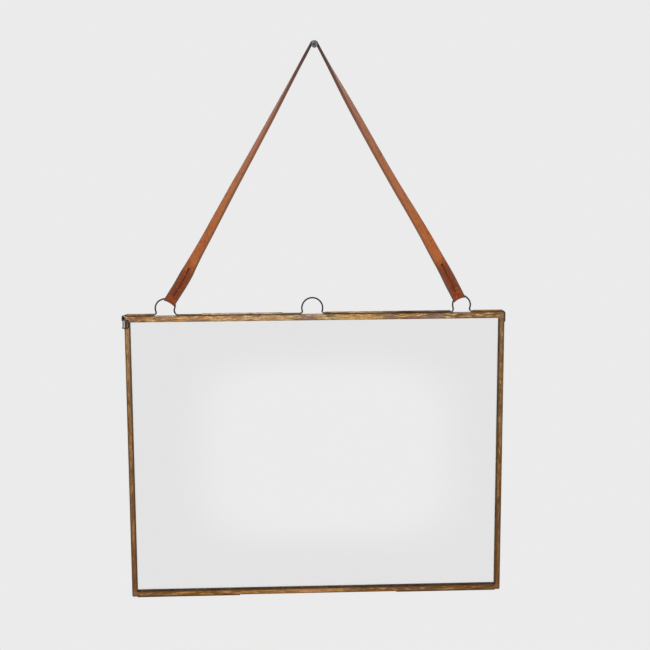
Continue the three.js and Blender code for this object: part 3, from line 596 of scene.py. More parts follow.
empty_hands()
bpy.ops.mesh.primitive_grid_add(
    x_subdivisions=COLUMNS, y_subdivisions=len(stations) - 1, size=1, calc_uvs=True
)
strap = settle("leather_strap")
cells = []
for corner in strap.data.vertices:
    row = round((corner.co.y + 0.5) * (len(stations) - 1))
    cells.append((round((corner.co.x + 0.5) * COLUMNS) / COLUMNS - 0.5, row))
for corner, (share, row) in zip(strap.data.vertices, cells):
    width = STRAP_WIDE * (1 + WIDTH_WANDER * noise.noise(Vector((run[row] / 22, 0, 7.3))))
    shift = LINE_WANDER * noise.noise(Vector((run[row] / 30, 4.1, 0)))
    corner.co = strip_point(row, width * share + shift) * MM
flat_map = strap.data.uv_layers[0]
for loop in strap.data.loops:
    share, row = cells[loop.vertex_index]
    flat_map.data[loop.index].uv = (STRAP_WIDE * share, run[row])
strap.data.update()
print("strip cut to", STRAP_WIDE, "by", round(strap_length), "mm")

# %% Give the strip its thickness and its soft edges
THINNEST = 0.2  # the share of full thickness where a corner's weight is 0
EDGE_ROUND = 0.28

full = strap.vertex_groups.new(name="full_thickness")
for corner, (share, row) in zip(strap.data.vertices, cells):
    weight = (stations[row]["thick"] / LEG_THICK - THINNEST) / (1 - THINNEST)
    full.add([corner.index], weight, "REPLACE")
GRAIN, FLESH, EDGE = range(3)
for _ in range(3):
    strap.data.materials.append(None)  # a slot that its leather fills later
apply_with(
    strap, "SOLIDIFY", thickness=mm(LEG_THICK), offset=0.0, use_even_offset=True,
    use_rim=True, material_offset=FLESH, material_offset_rim=EDGE,
    vertex_group="full_thickness", thickness_vertex_group=THINNEST,
)
apply_with(
    strap, "BEVEL", width=mm(EDGE_ROUND), segments=3, limit_method="ANGLE",
    angle_limit=radians(50), material=EDGE,
)
smooth_faces(strap, 50)
print("strap corners:", len(strap.data.vertices))

# %% [markdown]
# ## Leather
#
# Vegetable-tanned leather is even in colour where it is new. Here it is dark and wine-brown at
# the nail, tan along the legs and deep red-brown where it is sewn, with blotches where hands and
# wax have been. Its edges are darker, partly burnished and partly painted shade where they round
# away from the light, and the stitch groove is darkened with painted shade. Its relief is fine
# pores and creases.
# The UV map gives the place on the flat strip: across in x, along in y.

# %% Mix the leather's colours
HALF = strap_length / 2


def strip_place(recipe):
    """The place on the flat strip, and the distance from the nail along it, in millimetres."""
    flat = recipe.node("UVMap", uv_map="UVMap")
    return flat, abs(recipe.axis(flat, "Y") - HALF)


def leather_colours(recipe, flat, from_nail, spot):
    """The strip's own colour from the nail to its ends, with blotches and worn streaks."""
    base = recipe.ramp(from_nail / HALF, [
        (0.0, 58, 38, 38), (0.068, 86, 58, 52), (0.145, 152, 102, 74), (0.3, 166, 104, 70),
        (0.5, 174, 106, 62), (0.66, 174, 96, 48), (0.725, 174, 98, 50), (0.765, 130, 56, 18),
        (0.84, 122, 50, 14), (0.875, 144, 66, 22), (1.0, 122, 50, 14),
    ])
    blotches = recipe.mottle(spot, (0.16, 0.16, 0.1), 4.0, 0.6, 0.4)
    streaks = recipe.mottle(flat, (0.9, 0.07, 1), 4.0, 0.6)
    handled = recipe.mottle(spot, 0.42, 3.0, 0.55, 0.6)
    return recipe.coated(
        base,
        (blotches, 0.5, 0.7, 0.4, (96, 46, 28)),
        (streaks, 0.52, 0.76, 0.35, (186, 122, 76)),
        (streaks, 0.48, 0.28, 0.3, (104, 54, 34)),
        (handled, 0.54, 0.66, 0.35, (196, 112, 60)),
        (handled, 0.46, 0.34, 0.4, (92, 52, 36)),
    )


# %% Finish the grain side
SEWN_FROM = HALF - (2 * SEWN + pi * FOLD_TURN)  # where the sewn end starts, from the nail

grain_leather, grain = new_finish("tan_leather_grain")
flat, from_nail = strip_place(grain)
from_middle = abs(grain.axis(flat, "X"))
spot = grain.place()
groove = grain.smooth(from_nail, SEWN_FROM + 2.0, SEWN_FROM + 3.2)
groove = groove * grain.smooth(from_nail, SEWN_FROM + 26.0, SEWN_FROM + 25.0)
groove = groove * grain.smooth(from_middle, 1.1, 0.45)
in_sewn_end = grain.smooth(from_nail / HALF, 0.74, 0.78)
# Painted shade, with some real burnish: the strip's edges are darker, and the edges of the sewn
# ends more so, where their rounded sides turn away from the light.
colour = grain.coated(
    leather_colours(grain, flat, from_nail, spot),
    (from_middle, 3.6, 4.9, 0.35, (96, 50, 30)),
    (from_middle, 2.2, 4.4, in_sewn_end * 0.65, (112, 74, 58)),
)
pore_inputs = {"Vector": spot, "Scale": 1.5, "Smoothness": 0.35}
pores = grain.node("TexVoronoi", pore_inputs, feature="SMOOTH_F1")
creases = grain.mottle(spot, 0.8, 5.0, 0.6, 0.6)
wear = grain.mottle(spot, 0.35, 3.0, 0.6)
# Painted shade: the stitch groove is darkened in colour as well as sunk by the relief.
grain.surface(
    grain.blend(groove * 0.4, colour, tone(78, 34, 20)), grain.between(wear, 0.42, 0.66),
    grain.relief((pores * 0.5 + creases * 0.6) * 0.35 - groove * 1.2, 0.16, 0.9),
    specular=0.16, others={"Coat Weight": 0.03, "Coat Roughness": 0.35},
)
strap.data.materials[GRAIN] = grain_leather

# %% Finish the flesh side and the burnished edge
flesh_leather, flesh = new_finish("tan_leather_flesh")
flat, from_nail = strip_place(flesh)
spot = flesh.place()
fibres = flesh.mottle(spot, (1.6, 1.6, 1.0), 6.0, 0.7, 0.8)
colour = flesh.ramp(fibres, [(0.25, 112, 70, 44), (0.5, 148, 100, 66), (0.8, 176, 130, 92)])
colour = flesh.blend(0.55, colour, leather_colours(flesh, flat, from_nail, spot))
flesh.surface(colour, 0.88, flesh.relief(fibres, 0.3, 0.9), specular=0.25)
strap.data.materials[FLESH] = flesh_leather

edge_leather, edge = new_finish("tan_leather_edge")
flat, from_nail = strip_place(edge)
layers = edge.mottle(edge.place(), 0.7, 5.0, 0.65, 1.2)
# Darker along the sewn ends: partly burnish, partly painted shade on the doubled strap's side
# edges.
colour = edge.ramp(from_nail / HALF, [
    (0.0, 58, 38, 38), (0.08, 92, 62, 54), (0.3, 138, 88, 60), (0.7, 140, 84, 52),
    (0.77, 96, 58, 38), (1.0, 84, 46, 30),
])
colour = edge.coated(
    colour, (layers, 0.45, 0.7, 0.4, (80, 46, 34)), (layers, 0.45, 0.25, 0.3, (134, 90, 64))
)
edge.surface(
    colour, edge.between(layers, 0.4, 0.62), edge.relief(layers, 0.15, 0.8), specular=0.3
)
strap.data.materials[EDGE] = edge_leather
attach(strap, "strap")
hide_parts("strap")
print("strap finishes:", [slot.name for slot in strap.data.materials])

# %% [markdown]
# ## The thread
#
# A saddle stitch is one waxed thread that dives through the leather again and again, so what
# shows is a row of short fat arcs down the middle of each sewn end. One arc is modelled: a round
# bar whose ends are drawn down and thinned into their holes. It is copied along the seam, on
# both faces, and a small knot closes the row at its top.

# %% Waxed thread
thread_finish, thread = new_finish("waxed_thread")
wave_inputs = {"Vector": thread.place(), "Scale": 1.1, "Distortion": 0.6}
strands = thread.node("TexWave", wave_inputs, "Fac", bands_direction="DIAGONAL")
colour = thread.ramp(strands, [(0.1, 42, 18, 12), (0.6, 66, 28, 18), (1.0, 88, 42, 28)])
thread.surface(colour, 0.5, thread.relief(strands, 0.12, 0.8), specular=0.3)

# %% Model one stitch
STITCHES, STITCH_START, STITCH_END = 9, 5.0, 2.8
STITCH_RADIUS = 0.31
PITCH = (SEWN - STITCH_START - STITCH_END) / STITCHES
DIPS = [(0.28, -0.04, 0.94), (0.22, -0.13, 0.8), (0.08, -0.2, 0.62)]  # onward, down and size

empty_hands()
bpy.ops.mesh.primitive_cylinder_add(
    vertices=12, radius=mm(STITCH_RADIUS), depth=mm(PITCH / 2), rotation=(0, radians(90), 0)
)
stitch = settle("stitch")
for end in (-1, 1):
    edit_faces(stitch, lambda normal: normal.x * end > 0.9)
    for onward, down, size in DIPS:
        extrude(mm(end * onward, 0, down))
        bpy.ops.transform.resize(value=(size, size, size))
round_off(stitch)
print("stitch faces:", len(stitch.data.polygons), "pitch:", round(PITCH, 2), "mm")


# %% Lay the stitches along both seams
SEAM_WANDER = 0.5
STITCH_LIFT, KNOT_LIFT = 0.04, 0.16


def seam_seat(line, along, layer, lift):
    """Where a stitch lies on a sewn end and how it is turned, as a matrix."""
    low = leg_station(line, along - 0.5, 0)["middle"]
    high = leg_station(line, along + 0.5, 0)["middle"]
    surface = layer_offset(along, layer) + thickness_at(along, layer) / 2
    station = leg_station(line, along, surface, 0, layer)
    forward = (high - low).normalized()
    outward = (station["normal"] - station["normal"].dot(forward) * forward).normalized()
    sideways = outward.cross(forward)
    wander = noise.noise(Vector((along * 0.11, line["side"] * 3.3, 0.4)))
    aside = SEAM_WANDER * wander * layer
    seat = Matrix((forward, sideways, outward)).transposed().to_4x4()
    seat.translation = (station["middle"] + aside * sideways + lift * outward) * MM
    return seat


def copy_onto(pattern, seat):
    copy = pattern.copy()
    copy.data = pattern.data.copy()
    bpy.context.scene.collection.objects.link(copy)
    copy.data.transform(seat)
    return copy


def sew(name, line, node):
    laid = [copy_onto(knot, seam_seat(line, SEWN - STITCH_END, 1, KNOT_LIFT))]
    for layer in (1, -1):
        for i in range(STITCHES):
            seat = seam_seat(line, STITCH_START + (i + 0.5) * PITCH, layer, STITCH_LIFT)
            laid.append(copy_onto(stitch, seat))
    take(*laid)
    bpy.ops.object.join()
    sewn = settle(name)
    smooth_faces(sewn, 60)
    hand_in(sewn, "strap", [node], thread_finish)


empty_hands()
bpy.ops.mesh.primitive_torus_add(
    major_segments=20, minor_segments=10, major_radius=mm(0.5), minor_radius=mm(0.38)
)
knot = settle("knot")
sew("thread_left", left_line, "strap_stitching_left")
sew("thread_right", right_line, "strap_stitching_right")
for pattern in (stitch, knot):
    bpy.data.objects.remove(pattern)

# %% [markdown]
# ## Bending wire
#
# A wire is a line with a thickness. One corner of a mesh is pushed from point to point, as a
# plier bends wire. The chain of edges is turned into a curve, the curve gets its roundness and
# its closed ends, and the result becomes a mesh again.


# %% Bend a wire along a route
def bend_wire(name, route, thickness):
    empty_hands()
    bpy.ops.mesh.primitive_plane_add(size=mm(1), location=route[0] * MM)
    edit_whole()
    bpy.ops.mesh.select_mode(type="VERT")
    bpy.ops.mesh.merge(type="CENTER")
    for here, there in zip(route, route[1:]):
        extrude((there - here) * MM)
    mode("OBJECT")
    bpy.ops.object.convert(target="CURVE")
    line = bpy.context.object.data
    line.dimensions = "3D"
    line.bevel_depth = mm(thickness / 2)
    line.bevel_resolution = 3
    line.use_fill_caps = True
    bpy.ops.object.convert(target="MESH")
    wire = settle(name)
    smooth_faces(wire, 60)
    return wire


def arc(centre, radius, first, last, steps, plane="xz"):
    """Points on part of a circle, in the plane of the two axes named."""
    points = []
    for i in range(steps + 1):
        angle = radians(first + (last - first) * i / steps)
        point = Vector(centre)
        for axis, reach in zip(plane, (cos(angle), sin(angle))):
            setattr(point, axis, getattr(point, axis) + radius * reach)
        points.append(point)
    return points


def without_repeats(points):
    kept = [points[0]]
    for point in points[1:]:
        if (point - kept[-1]).length > 0.02:
            kept.append(point)
    return kept


# %% [markdown]
# ## Dark wire
#
# The wire, the catch and the hinge pin are thin mild steel or brass that has gone nearly black,
# with brown rust in its hollows and a little bare grey where it rubs. Below the level of the
# loops, except near the sides, it is lightened towards tan, a painted highlight as if lit from
# above.

# %% Mix the dark wire
TOP_Z, BOTTOM_Z, SIDE_X = -216.1, -454.1, 155.0  # the frame's edges

dark_finish, dark = new_finish("darkened_wire")
spot = dark.place()
rust = dark.mottle(spot, 0.28, 4.0, 0.6, 0.5)
fine = dark.mottle(spot, 2.2, 4.0, 0.7)
colour = dark.coated(
    dark.ramp(rust, [(0.3, 34, 34, 34), (0.5, 48, 45, 42), (0.64, 62, 50, 40), (0.8, 48, 34, 24)]),
    (fine, 0.6, 0.78, 0.3, (112, 108, 102)),
)
in_bead = dark.smooth(dark.axis(spot, "Z"), TOP_Z + 2.6, TOP_Z + 1.1)
at_corner = in_bead * dark.smooth(abs(dark.axis(spot, "X")), SIDE_X - 9.0, SIDE_X - 5.0)
# Painted highlight: below the loops the wire is lightened towards tan, as if lit from above.
colour = dark.blend(in_bead * 0.6, colour, tone(150, 132, 106))
dark.surface(
    dark.blend(at_corner * 0.9, colour, tone(40, 26, 20)), dark.between(fine, 0.34, 0.6),
    dark.relief(fine, 0.06, 0.7), dark.between(rust, 0.6, 0.35) * (1.0 - at_corner * 0.85), 0.3,
)

# %% [markdown]
# ## The hanging wire
#
# One wire runs along the top of the back leaf in its rolled bead and rises into three loops, of
# which no two are alike. At its right end it turns down the side and hooks into the upright.

# %% Bend the hanging wire
WIRE_THICK = 1.3
WIRE_Z = TOP_Z + WIRE_THICK / 2
# Each loop's x, rise and radius, and for its left and its right: degrees of neck, flare of foot.
LOOPS = [
    (-122.4, 6.1, 7.7, (20, 7), (2.0, 0.7)), (-2.5, 5.0, 8.5, (16, 16), (1.9, 1.9)),
    (120.0, 6.2, 7.3, (20, 20), (0.5, 1.1)),
]
UNDER_STRAP = (6.4, 4.7)
TAIL_X, TAIL_Z = SIDE_X + 0.9, WIRE_Z - 9
TAIL_BEND, HOOK = 2.4, 0.9


def pressed_flat(point, line):
    """The strap's pull flattens the crown of a loop, which follows the fold under the leather."""
    side, direction = line["side"], line["direction"]
    loop_x, loop_z, loop_radius = LOOP_CENTRES[side]
    arm = Vector((point.x - loop_x, point.z - loop_z))
    u = arm.x * direction.y - arm.y * direction.x
    height = arm.dot(direction)
    if height < 0:
        return point
    in_fold = loop_radius - FOLD_FOLLOW[side] * loop_fall(loop_radius, u)
    covered = soft_step(abs(u - side * SIDESTEPS[side][0]), *UNDER_STRAP)
    return point + covered * (in_fold - height) * Vector((direction.x, 0, direction.y))


def loop_foot(x, rise, radius, neck, flare, side):
    """The bend from the straight wire up to a loop's neck, wider than a round one by its flare."""
    sine, cosine = sin(radians(neck)), cos(radians(neck))
    bend = (rise - radius * sine - WIRE_THICK / 2) / (1 + sine)
    foot = arc((-(radius + bend) * cosine, WIRE_Y, WIRE_Z + bend), bend, -90, neck, 7)
    neck_x = foot[-1].x
    for point in foot:
        point.x = x - side * (neck_x + (point.x - neck_x) * flare)
    return foot


def wire_route():
    route = [Vector((-SIDE_X - 0.3, WIRE_Y, WIRE_Z))]
    for x, rise, radius, necks, flares in LOOPS:
        left, right = (
            loop_foot(x, rise, radius, neck, flare, side)
            for neck, flare, side in zip(necks, flares, (-1, 1))
        )
        crown = arc((x, WIRE_Y, TOP_Z + rise), radius, 180 + necks[0], -necks[1], 48)
        for line in (left_line, right_line):
            if abs(LOOP_CENTRES[line["side"]][0] - x) < radius:
                crown = [pressed_flat(point, line) for point in crown]
        route += left + crown + right[::-1]
    route += arc((TAIL_X - TAIL_BEND, WIRE_Y, WIRE_Z - TAIL_BEND), TAIL_BEND, 90, 0, 10)
    route += arc((TAIL_X - HOOK, WIRE_Y, TAIL_Z + HOOK), HOOK, 0, -90, 8)
    route.append(Vector((SIDE_X - 0.5, WIRE_Y, TAIL_Z)))
    return without_repeats(route)


hanging_wire = bend_wire("bent_hanging_wire", wire_route(), WIRE_THICK)
hand_in(hanging_wire, "back_frame", ["hanging_wire"], dark_finish)

# %% [markdown]
# ## The catch
#
# The two leaves are kept shut by a bent wire at the top left corner. It drops through a small
# barrel on the back leaf, comes forward round the edge and crosses the front leaf, where it
# ends in an oval nose that a fingernail can push aside. A low dome keeps it from falling out.

# %% Bend the catch
CLIP_THICK, CLIP_BEND = 1.0, 1.2
CLIP_X, CLIP_Y, CLIP_NOSE_Y = -156.5, -1.7, -8.3
CLIP_TOP, CLIP_LOW = TOP_Z - 0.2, TOP_Z - 8.8
NOSE_X, NOSE_RADIUS, NOSE_HEIGHT = -SIDE_X + 2.3, 0.9, 6.5


def catch_route():
    bend, nose = CLIP_BEND, NOSE_RADIUS
    return without_repeats([
        Vector((CLIP_X, CLIP_Y, CLIP_TOP)),
        *arc((CLIP_X, CLIP_Y - bend, CLIP_LOW + bend), bend, 0, -90, 7, "yz"),
        *arc((CLIP_X + bend, CLIP_NOSE_Y + bend, CLIP_LOW), bend, 180, 270, 7, "xy"),
        *arc((NOSE_X, CLIP_NOSE_Y, CLIP_LOW + nose), nose, -90, 0, 7),
        *arc((NOSE_X, CLIP_NOSE_Y, CLIP_LOW + NOSE_HEIGHT - nose), nose, 0, 180, 16),
        Vector((NOSE_X - nose, CLIP_NOSE_Y, CLIP_LOW + 1.0)),
    ])


clip_wire = bend_wire("clip_wire", catch_route(), CLIP_THICK)
clip_top = mm(CLIP_X, CLIP_Y, CLIP_TOP)
empty_hands()
bpy.ops.mesh.primitive_uv_sphere_add(
    segments=20, ring_count=12, radius=mm(CLIP_THICK), location=clip_top
)
clip_head = settle("clip_head")
edit_whole()
bpy.ops.mesh.bisect(plane_co=clip_top, plane_no=(0, 0, -1), clear_outer=True, use_fill=True)
bpy.ops.mesh.select_all(action="SELECT")
bpy.ops.transform.resize(value=(1, 1, 0.8))
take(clip_wire, clip_head)
bpy.ops.object.join()
catch = settle("bent_catch_clip")
smooth_faces(catch, 50)
hand_in(catch, "catch", ["catch_clip"], dark_finish)

# %% [markdown]
# ## The nail
#
# A round wire nail carries it all. It is turned from one cylinder: its front face is stepped in
# and pushed out into a low dome, its back face is stepped in to the shank and pulled out to a
# point, and the rims are bevelled. Its head is grey steel, struck dull by hammers.

# %% Mix the nail's steel
steel_finish, steel = new_finish("nail_steel")
spot = steel.place()
strikes = steel.mottle(spot, 0.55, 4.0, 0.65, 0.8)
fine = steel.mottle(spot, 2.6, 3.0, 0.6)
in_head_plane = steel.stretched(spot, (1, 0, 1))
from_middle = steel.node("VectorMath", {0: in_head_plane}, "Value", operation="LENGTH")
colour = steel.ramp(strikes, [
    (0.3, 70, 72, 72), (0.5, 112, 114, 112), (0.66, 154, 156, 154), (0.85, 88, 88, 86),
])
colour = steel.coated(colour, (from_middle + strikes * 2.0, 3.0, 1.6, 0.7, (44, 52, 52)))
bumps = steel.relief(strikes + fine * 0.25, 0.3, 0.8)
steel.surface(colour, steel.between(fine, 0.35, 0.62), bumps, metallic=0.7)

# %% Turn the nail
HEAD_RADIUS, HEAD_DEPTH, HEAD_Y = 2.75, 1.2, -12.8
DOME = [(0.35, -0.16), (0.6, -0.1), (0.9, -0.05)]  # steps in and forward
SHANK_RADIUS, SHANK_LENGTH, POINT_LENGTH = 1.2, 28.2, 3.7
HEAD_NARROWS, HEAD_STRETCHES, HEAD_RISES = 0.86, 1.08, 0.2

empty_hands()
bpy.ops.mesh.primitive_cylinder_add(
    vertices=48, radius=mm(HEAD_RADIUS), depth=mm(HEAD_DEPTH), location=mm(0, HEAD_Y, 0),
    rotation=(radians(90), 0, 0),
)
nail = settle("round_nail")
edit_faces(nail, lambda normal: normal.y < -0.9)
for inset, push in DOME:
    bpy.ops.mesh.inset(thickness=mm(inset), depth=0)
    bpy.ops.transform.translate(value=mm(0, push, 0))
edit_faces(nail, lambda normal: normal.y > 0.9)
bpy.ops.mesh.inset(thickness=mm(HEAD_RADIUS - SHANK_RADIUS), depth=0)
extrude(mm(0, SHANK_LENGTH, 0))
extrude(mm(0, POINT_LENGTH, 0))
bpy.ops.transform.resize(value=(0.12, 1, 0.12))
apply_with(
    nail, "BEVEL", width=mm(0.22), segments=3, limit_method="ANGLE", angle_limit=radians(35)
)
for corner in nail.data.vertices:
    if corner.co.y < mm(HEAD_Y + 0.7):
        beat = 0.09 * noise.noise(Vector((corner.co.x, 0, corner.co.z)) / MM * 0.45)
        corner.co.y += mm(beat)
        corner.co.x *= HEAD_NARROWS + 0.02 * noise.noise(corner.co / MM * 0.3)
        corner.co.z = corner.co.z * HEAD_STRETCHES + mm(HEAD_RISES)
smooth_faces(nail, 40)
hand_in(nail, "nail", ["hanging_nail"], steel_finish)

# %% [markdown]
# ## Solder
#
# Each corner is two folded channels cut at forty-five degrees and flooded with solder. What is
# left is a low pillow with a wandering edge, a little proud of the brass in front and rubbed
# flat at the back, where it touches the wall. Soft solder is grey, and the patina browns it.
# Towards the bottom it is darker, partly patina and partly painted shade, as if lit from above.

# %% Mix the stained solder
RIGHT_SIDE = (-10.0, 10.0)

solder_finish, solder = new_finish("stained_solder")
spot = solder.place()
stain = solder.mottle(spot, 0.9, 5.0, 0.7, 0.7)
fine = solder.mottle(spot, 2.4, 4.0, 0.6)
colour = solder.ramp(stain, [
    (0.3, 96, 68, 44), (0.42, 140, 104, 68), (0.54, 178, 138, 96), (0.68, 188, 154, 112),
    (0.86, 120, 88, 58),
])
# Darker towards the bottom, as the brass is: partly patina, partly painted shade as if lit from
# above.
colour = solder.coated(
    colour,
    (solder.axis(spot, "X"), *RIGHT_SIDE, 0.55, (108, 78, 54)),
    (solder.axis(spot, "Z"), TOP_Z, BOTTOM_Z, 0.8, (114, 74, 40)),
)
bumps = solder.relief(stain + fine * 0.2, 0.35, 0.9)
solder.surface(colour, solder.between(fine, 0.36, 0.62), bumps, metallic=0.4)


# %% Shape one pillow of solder for each corner
FILL, ROUNDING, RAGGEDNESS = 0.98, 0.55, 0.16
SEED_STEP = 3.7


def solder_pillow(name, node, body, face, proud, seed):
    """A grid over the CAD corner, drawn in to a ragged round and raised on its outer face."""
    low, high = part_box(node)
    size = high - low
    centre = (low + high) / 2
    empty_hands()
    bpy.ops.mesh.primitive_cube_add(size=1, location=centre, scale=size)
    pillow = settle(name)
    edit_whole()
    bpy.ops.mesh.subdivide(number_cuts=7)
    mode("OBJECT")
    for corner in pillow.data.vertices:
        across, up = (corner.co.x - centre.x) / size.x * 2, (corner.co.z - centre.z) / size.z * 2
        reach = max(abs(across), abs(up))
        roundness = reach / hypot(across, up) if reach > 0 else 1.0
        ragged = 1 + RAGGEDNESS * noise.noise(Vector((across, up, seed)) * 1.1)
        share = (1 - ROUNDING + ROUNDING * roundness) * ragged * FILL
        corner.co.x = centre.x + across * share * size.x / 2
        corner.co.z = centre.z + up * share * size.z / 2
        if (corner.co.y - centre.y) * face > 0:
            swell = 0.75 + 0.5 * noise.noise(Vector((across, up, seed + 5)) * 1.6)
            swell *= max(1 - reach ** 4, 0.0)
            corner.co.y += face * (mm(proud) * swell - size.y / 2 * reach ** 6)
    round_off(pillow)
    hand_in(pillow, body, [node], solder_finish)


seed = 0.0
for leaf, face, proud in (("front", -1, 0.3), ("back", 1, -0.02)):
    for corner_name in ("top_left", "top_right", "bottom_left", "bottom_right"):
        seed += SEED_STEP
        node = f"{leaf}_solder_{corner_name}"
        solder_pillow(f"{leaf}_corner_{corner_name}", node, leaf + "_frame", face, proud, seed)

# %% [markdown]
# ## Old brass
#
# Old brass isn't yellow all over. The upper rail is tan and gold in its middle and goes brown
# towards the corners, the lower rail is a browner gold with one light stretch, and the uprights
# darken towards the bottom; this darkening below is partly patina and partly painted shade, as
# if lit from above. On top of that lie drawn-out streaks, because the sheet was pulled and folded
# along its length, whose light ones are partly painted highlights, a few mauve stains, dark rims
# along the folds that are partly tarnish and partly painted shade, painted shade in the crease
# under the bead, and a painted highlight along the upper edge of the front leaf, where it faces
# up. The faces between the leaves get a lighter brass, painted light that lifts their shade.


# %% The tones that a rail has along its length
BEAD_FOOT = (TOP_Z + 0.05, TOP_Z + 0.15)
UPPER_HALF = (-400.0, -300.0)


def tones_lying(recipe, x, z, drift):
    """Upper rail, lower rail and bead, each with its own run of tones from left to right."""
    share = (x + drift * 50.0 + SIDE_X) / (2 * SIDE_X)
    upper = recipe.ramp(share, [
        (0.0, 174, 122, 74), (0.24, 190, 146, 106), (0.4, 198, 166, 128), (0.5, 176, 150, 116),
        (0.6, 208, 168, 104), (0.73, 150, 104, 58), (1.0, 144, 100, 58),
    ])
    bead = recipe.ramp(share, [
        (0.12, 122, 98, 72), (0.24, 204, 180, 144), (0.42, 170, 156, 132), (0.5, 118, 94, 72),
        (0.57, 118, 94, 72), (0.62, 192, 164, 126), (0.7, 64, 52, 42), (0.84, 64, 50, 36),
        (1.0, 120, 84, 52),
    ])
    lower = recipe.ramp(share, [
        (0.0, 138, 94, 42), (0.35, 132, 92, 40), (0.52, 180, 132, 80), (0.62, 122, 80, 32),
        (1.0, 106, 70, 34),
    ])
    # The lower rail is browner and darker: partly patina, partly painted shade as if lit from
    # above.
    colour = recipe.blend(recipe.smooth(z, *UPPER_HALF), lower, upper)
    return recipe.blend(recipe.smooth(z, *BEAD_FOOT), colour, bead)


def tones_upright(recipe, x, z, drift):
    """Brown gold above, darker and redder below, and more olive on the right."""
    share = (z + drift * 60.0 - BOTTOM_Z) / (TOP_Z - BOTTOM_Z)
    # Darker below: partly patina, partly painted shade as if lit from above.
    colour = recipe.ramp(share, [
        (0.0, 128, 82, 38), (0.3, 138, 90, 46), (0.6, 144, 104, 56), (0.85, 164, 122, 74),
        (1.0, 166, 126, 84),
    ])
    return recipe.coated(colour, (x, *RIGHT_SIDE, 0.45, (84, 62, 18)))


# %% The dark rims, the folds and the inner faces
HALF_FACE = 2.2


def from_face_middle(recipe, x, z, lying):
    """Distance from the middle line of a rail's face, in millimetres."""
    if not lying:
        return abs(abs(x) - (SIDE_X - HALF_FACE))
    from_top, from_bottom = abs(z - (TOP_Z - HALF_FACE)), abs(z - (BOTTOM_Z + HALF_FACE))
    return recipe.reckon("MINIMUM", from_top, from_bottom)


def inner_faces(recipe, x, y, z):
    """1 on the faces that show only when the front leaf is open."""
    between_leaves = recipe.smooth(y, -7.0, -5.8) * recipe.smooth(y, -0.55, -0.75)
    below_top = recipe.smooth(z, TOP_Z - 0.2, TOP_Z - 0.5)
    above_bottom = recipe.smooth(z, BOTTOM_Z + 0.1, BOTTOM_Z + 0.4)
    within_sides = recipe.smooth(abs(x), SIDE_X - 0.3, SIDE_X - 0.6)
    return between_leaves * below_top * above_bottom * within_sides


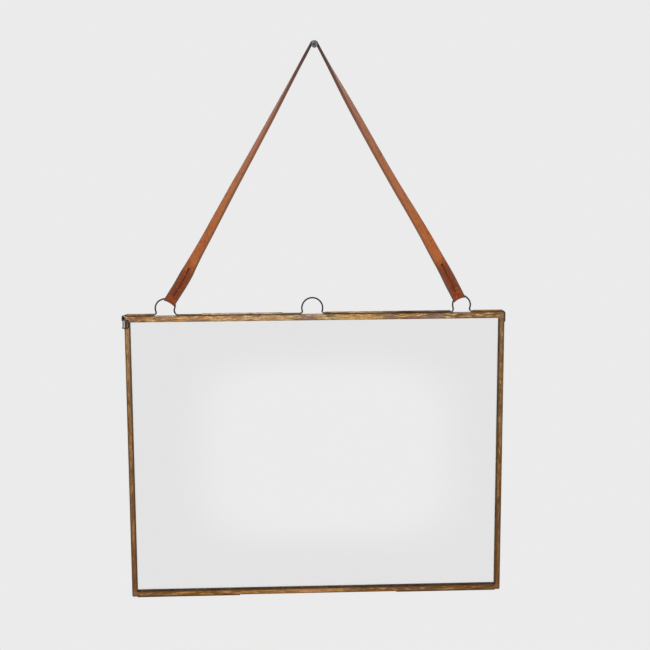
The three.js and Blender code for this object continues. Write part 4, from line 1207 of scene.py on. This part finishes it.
# %% Mix the brass
def brass_finish(name, lying):
    finish, brass = new_finish(name)
    spot = brass.place()
    x, y, z = (brass.axis(spot, letter) for letter in "XYZ")
    drawn_out = (0.05, 0.3, 0.42) if lying else (0.42, 0.3, 0.05)
    drawn = brass.stretched(spot, drawn_out, (3.1, 0.7, 1.3))
    drift = brass.mottle(spot, 0.02, 2.0, 0.5) - 0.5
    patches = brass.mottle(drawn, 1.0, 2.0, 0.5, 0.3)
    streaks = brass.mottle(brass.stretched(drawn, (1, 1, 1), (9.1, 2.2, 5.7)), 3.2, 3.0, 0.6)
    stains = brass.mottle(brass.stretched(drawn, (1.4, 0.6, 0.6), (17.3, 5.1, 9.4)), 0.8, 2.0, 0.5)
    flecks = brass.mottle(spot, 0.5, 3.0, 0.6)

    upper_rail = brass.smooth(z, *UPPER_HALF)
    # Painted highlight, in part: the light streaks go to this tone, brighter on the upper rail as
    # if lit from above.
    bright = brass.blend(upper_rail, tone(206, 152, 96), tone(250, 216, 160))
    busy = 1.0 - brass.smooth(z, *BEAD_FOOT) * 0.7 if lying else 0.45
    stained = brass.smooth(stains, 0.55, 0.6) * busy * brass.between(upper_rail, 0.3, 1.0)
    tones = tones_lying if lying else tones_upright
    colour = brass.coated(
        tones(brass, x, z, drift),
        (patches, 0.5, 0.62, busy * 0.5, (232, 164, 92)),
        (patches, 0.47, 0.38, 0.5, (112, 84, 58)),
        (streaks, 0.54, 0.63, busy * 0.75, bright),
        (streaks, 0.47, 0.37, 0.65, (94, 64, 34)),
        (flecks, 0.42, 0.34, 0.5, (84, 60, 40)),
    )
    colour = brass.blend(stained * 0.75, colour, tone(132, 104, 92))

    # The dark rims along the folds are partly tarnish and partly painted shade where the face
    # rounds over.
    ragged = from_face_middle(brass, x, z, lying) + (streaks - 0.5) * 1.2
    rim = brass.smooth(ragged, HALF_FACE * 0.4, HALF_FACE * 0.9)
    if lying:
        # Painted highlight: the top edge of the upper rail faces up to the light and is kept free
        # of the dark rim.
        below_lit_top_edge = brass.smooth(z, TOP_Z - 1.5, TOP_Z - 2.5)
        rim = rim * below_lit_top_edge * brass.between(upper_rail, 1.0, 0.45)
        folded = brass.smooth(z, TOP_Z - 1.0, TOP_Z - 0.3) * brass.smooth(z, TOP_Z + 0.1, TOP_Z)
        colour = brass.coated(colour, (streaks, 0.6, 0.52, folded * 0.55, (100, 70, 38)))
        # Painted shade: the crease between the front leaf's top and the bead is darkened.
        crease = brass.smooth(y, -5.8, -4.8) * brass.smooth(z, TOP_Z - 0.5, TOP_Z - 0.1)
        crease = crease * brass.smooth(z, TOP_Z + 0.9, TOP_Z + 0.3)
        rim = brass.reckon("MAXIMUM", rim, crease * 0.7)
    colour = brass.blend(rim * 0.9, colour, tone(74, 50, 26))

    # Painted light: the faces between the leaves get a lighter brass than the outer faces, to lift
    # the shade that falls between the leaves.
    inside = inner_faces(brass, x, y, z)
    inner = brass.coated(
        brass.blend(brass.smooth(patches, 0.38, 0.62), tone(166, 118, 62), tone(220, 164, 92)),
        (streaks, 0.5, 0.36, 0.6, (128, 88, 46)),
        (flecks, 0.44, 0.34, 0.5, (112, 82, 52)),
    )
    dull = brass.reckon("MAXIMUM", rim, inside * 0.7)
    brass.surface(
        brass.blend(inside * 0.95, colour, inner), brass.between(streaks, 0.3, 0.5),
        brass.relief(patches + streaks * 0.5 + flecks * 0.4, 0.35, 0.8),
        brass.between(stained, 0.62, 0.35) * (1.0 - dull * 0.75), 0.2,
    )
    return finish


lying_brass = brass_finish("old_brass_across", True)
upright_brass = brass_finish("old_brass_upright", False)
print("brass nodes:", len(lying_brass.node_tree.nodes))

# %% [markdown]
# ## Clear glass
#
# Glass needs nothing but its own shader: light passes through, bends a little and is mirrored a
# little. A trace of waviness keeps it from looking like plastic.

# %% Mix the glass
glass_finish, glass = new_finish("clear_glass")
waves = glass.mottle(glass.place(), (0.012, 0.012, 0.02), 1.0, 0.4)
glass.surface(
    (0.988, 0.988, 0.988, 1), 0.0, glass.relief(waves, 0.05, 0.3),
    others={"IOR": 1.45, "Transmission Weight": 1.0},
)


# %% Give the CAD nodes their finishes
def dress(finish, *nodes):
    for node in nodes:
        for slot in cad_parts[node].material_slots:
            slot.material = finish
    print(finish.name, "on", ", ".join(nodes))


for leaf in ("back", "front"):
    dress(lying_brass, leaf + "_top_rail", leaf + "_bottom_rail")
    dress(upright_brass, leaf + "_left_upright", leaf + "_right_upright")
    dress(glass_finish, leaf + "_glass")
dress(dark_finish, "catch_barrel", "hinge_pin")

# %% [markdown]
# ## Measure and close
#
# The dressed object may be a little fuller than the CAD model. The picture uses plain colours,
# with no extra contrast.

# %% Plain colours
bpy.context.scene.view_settings.view_transform = "Standard"
empty_hands()
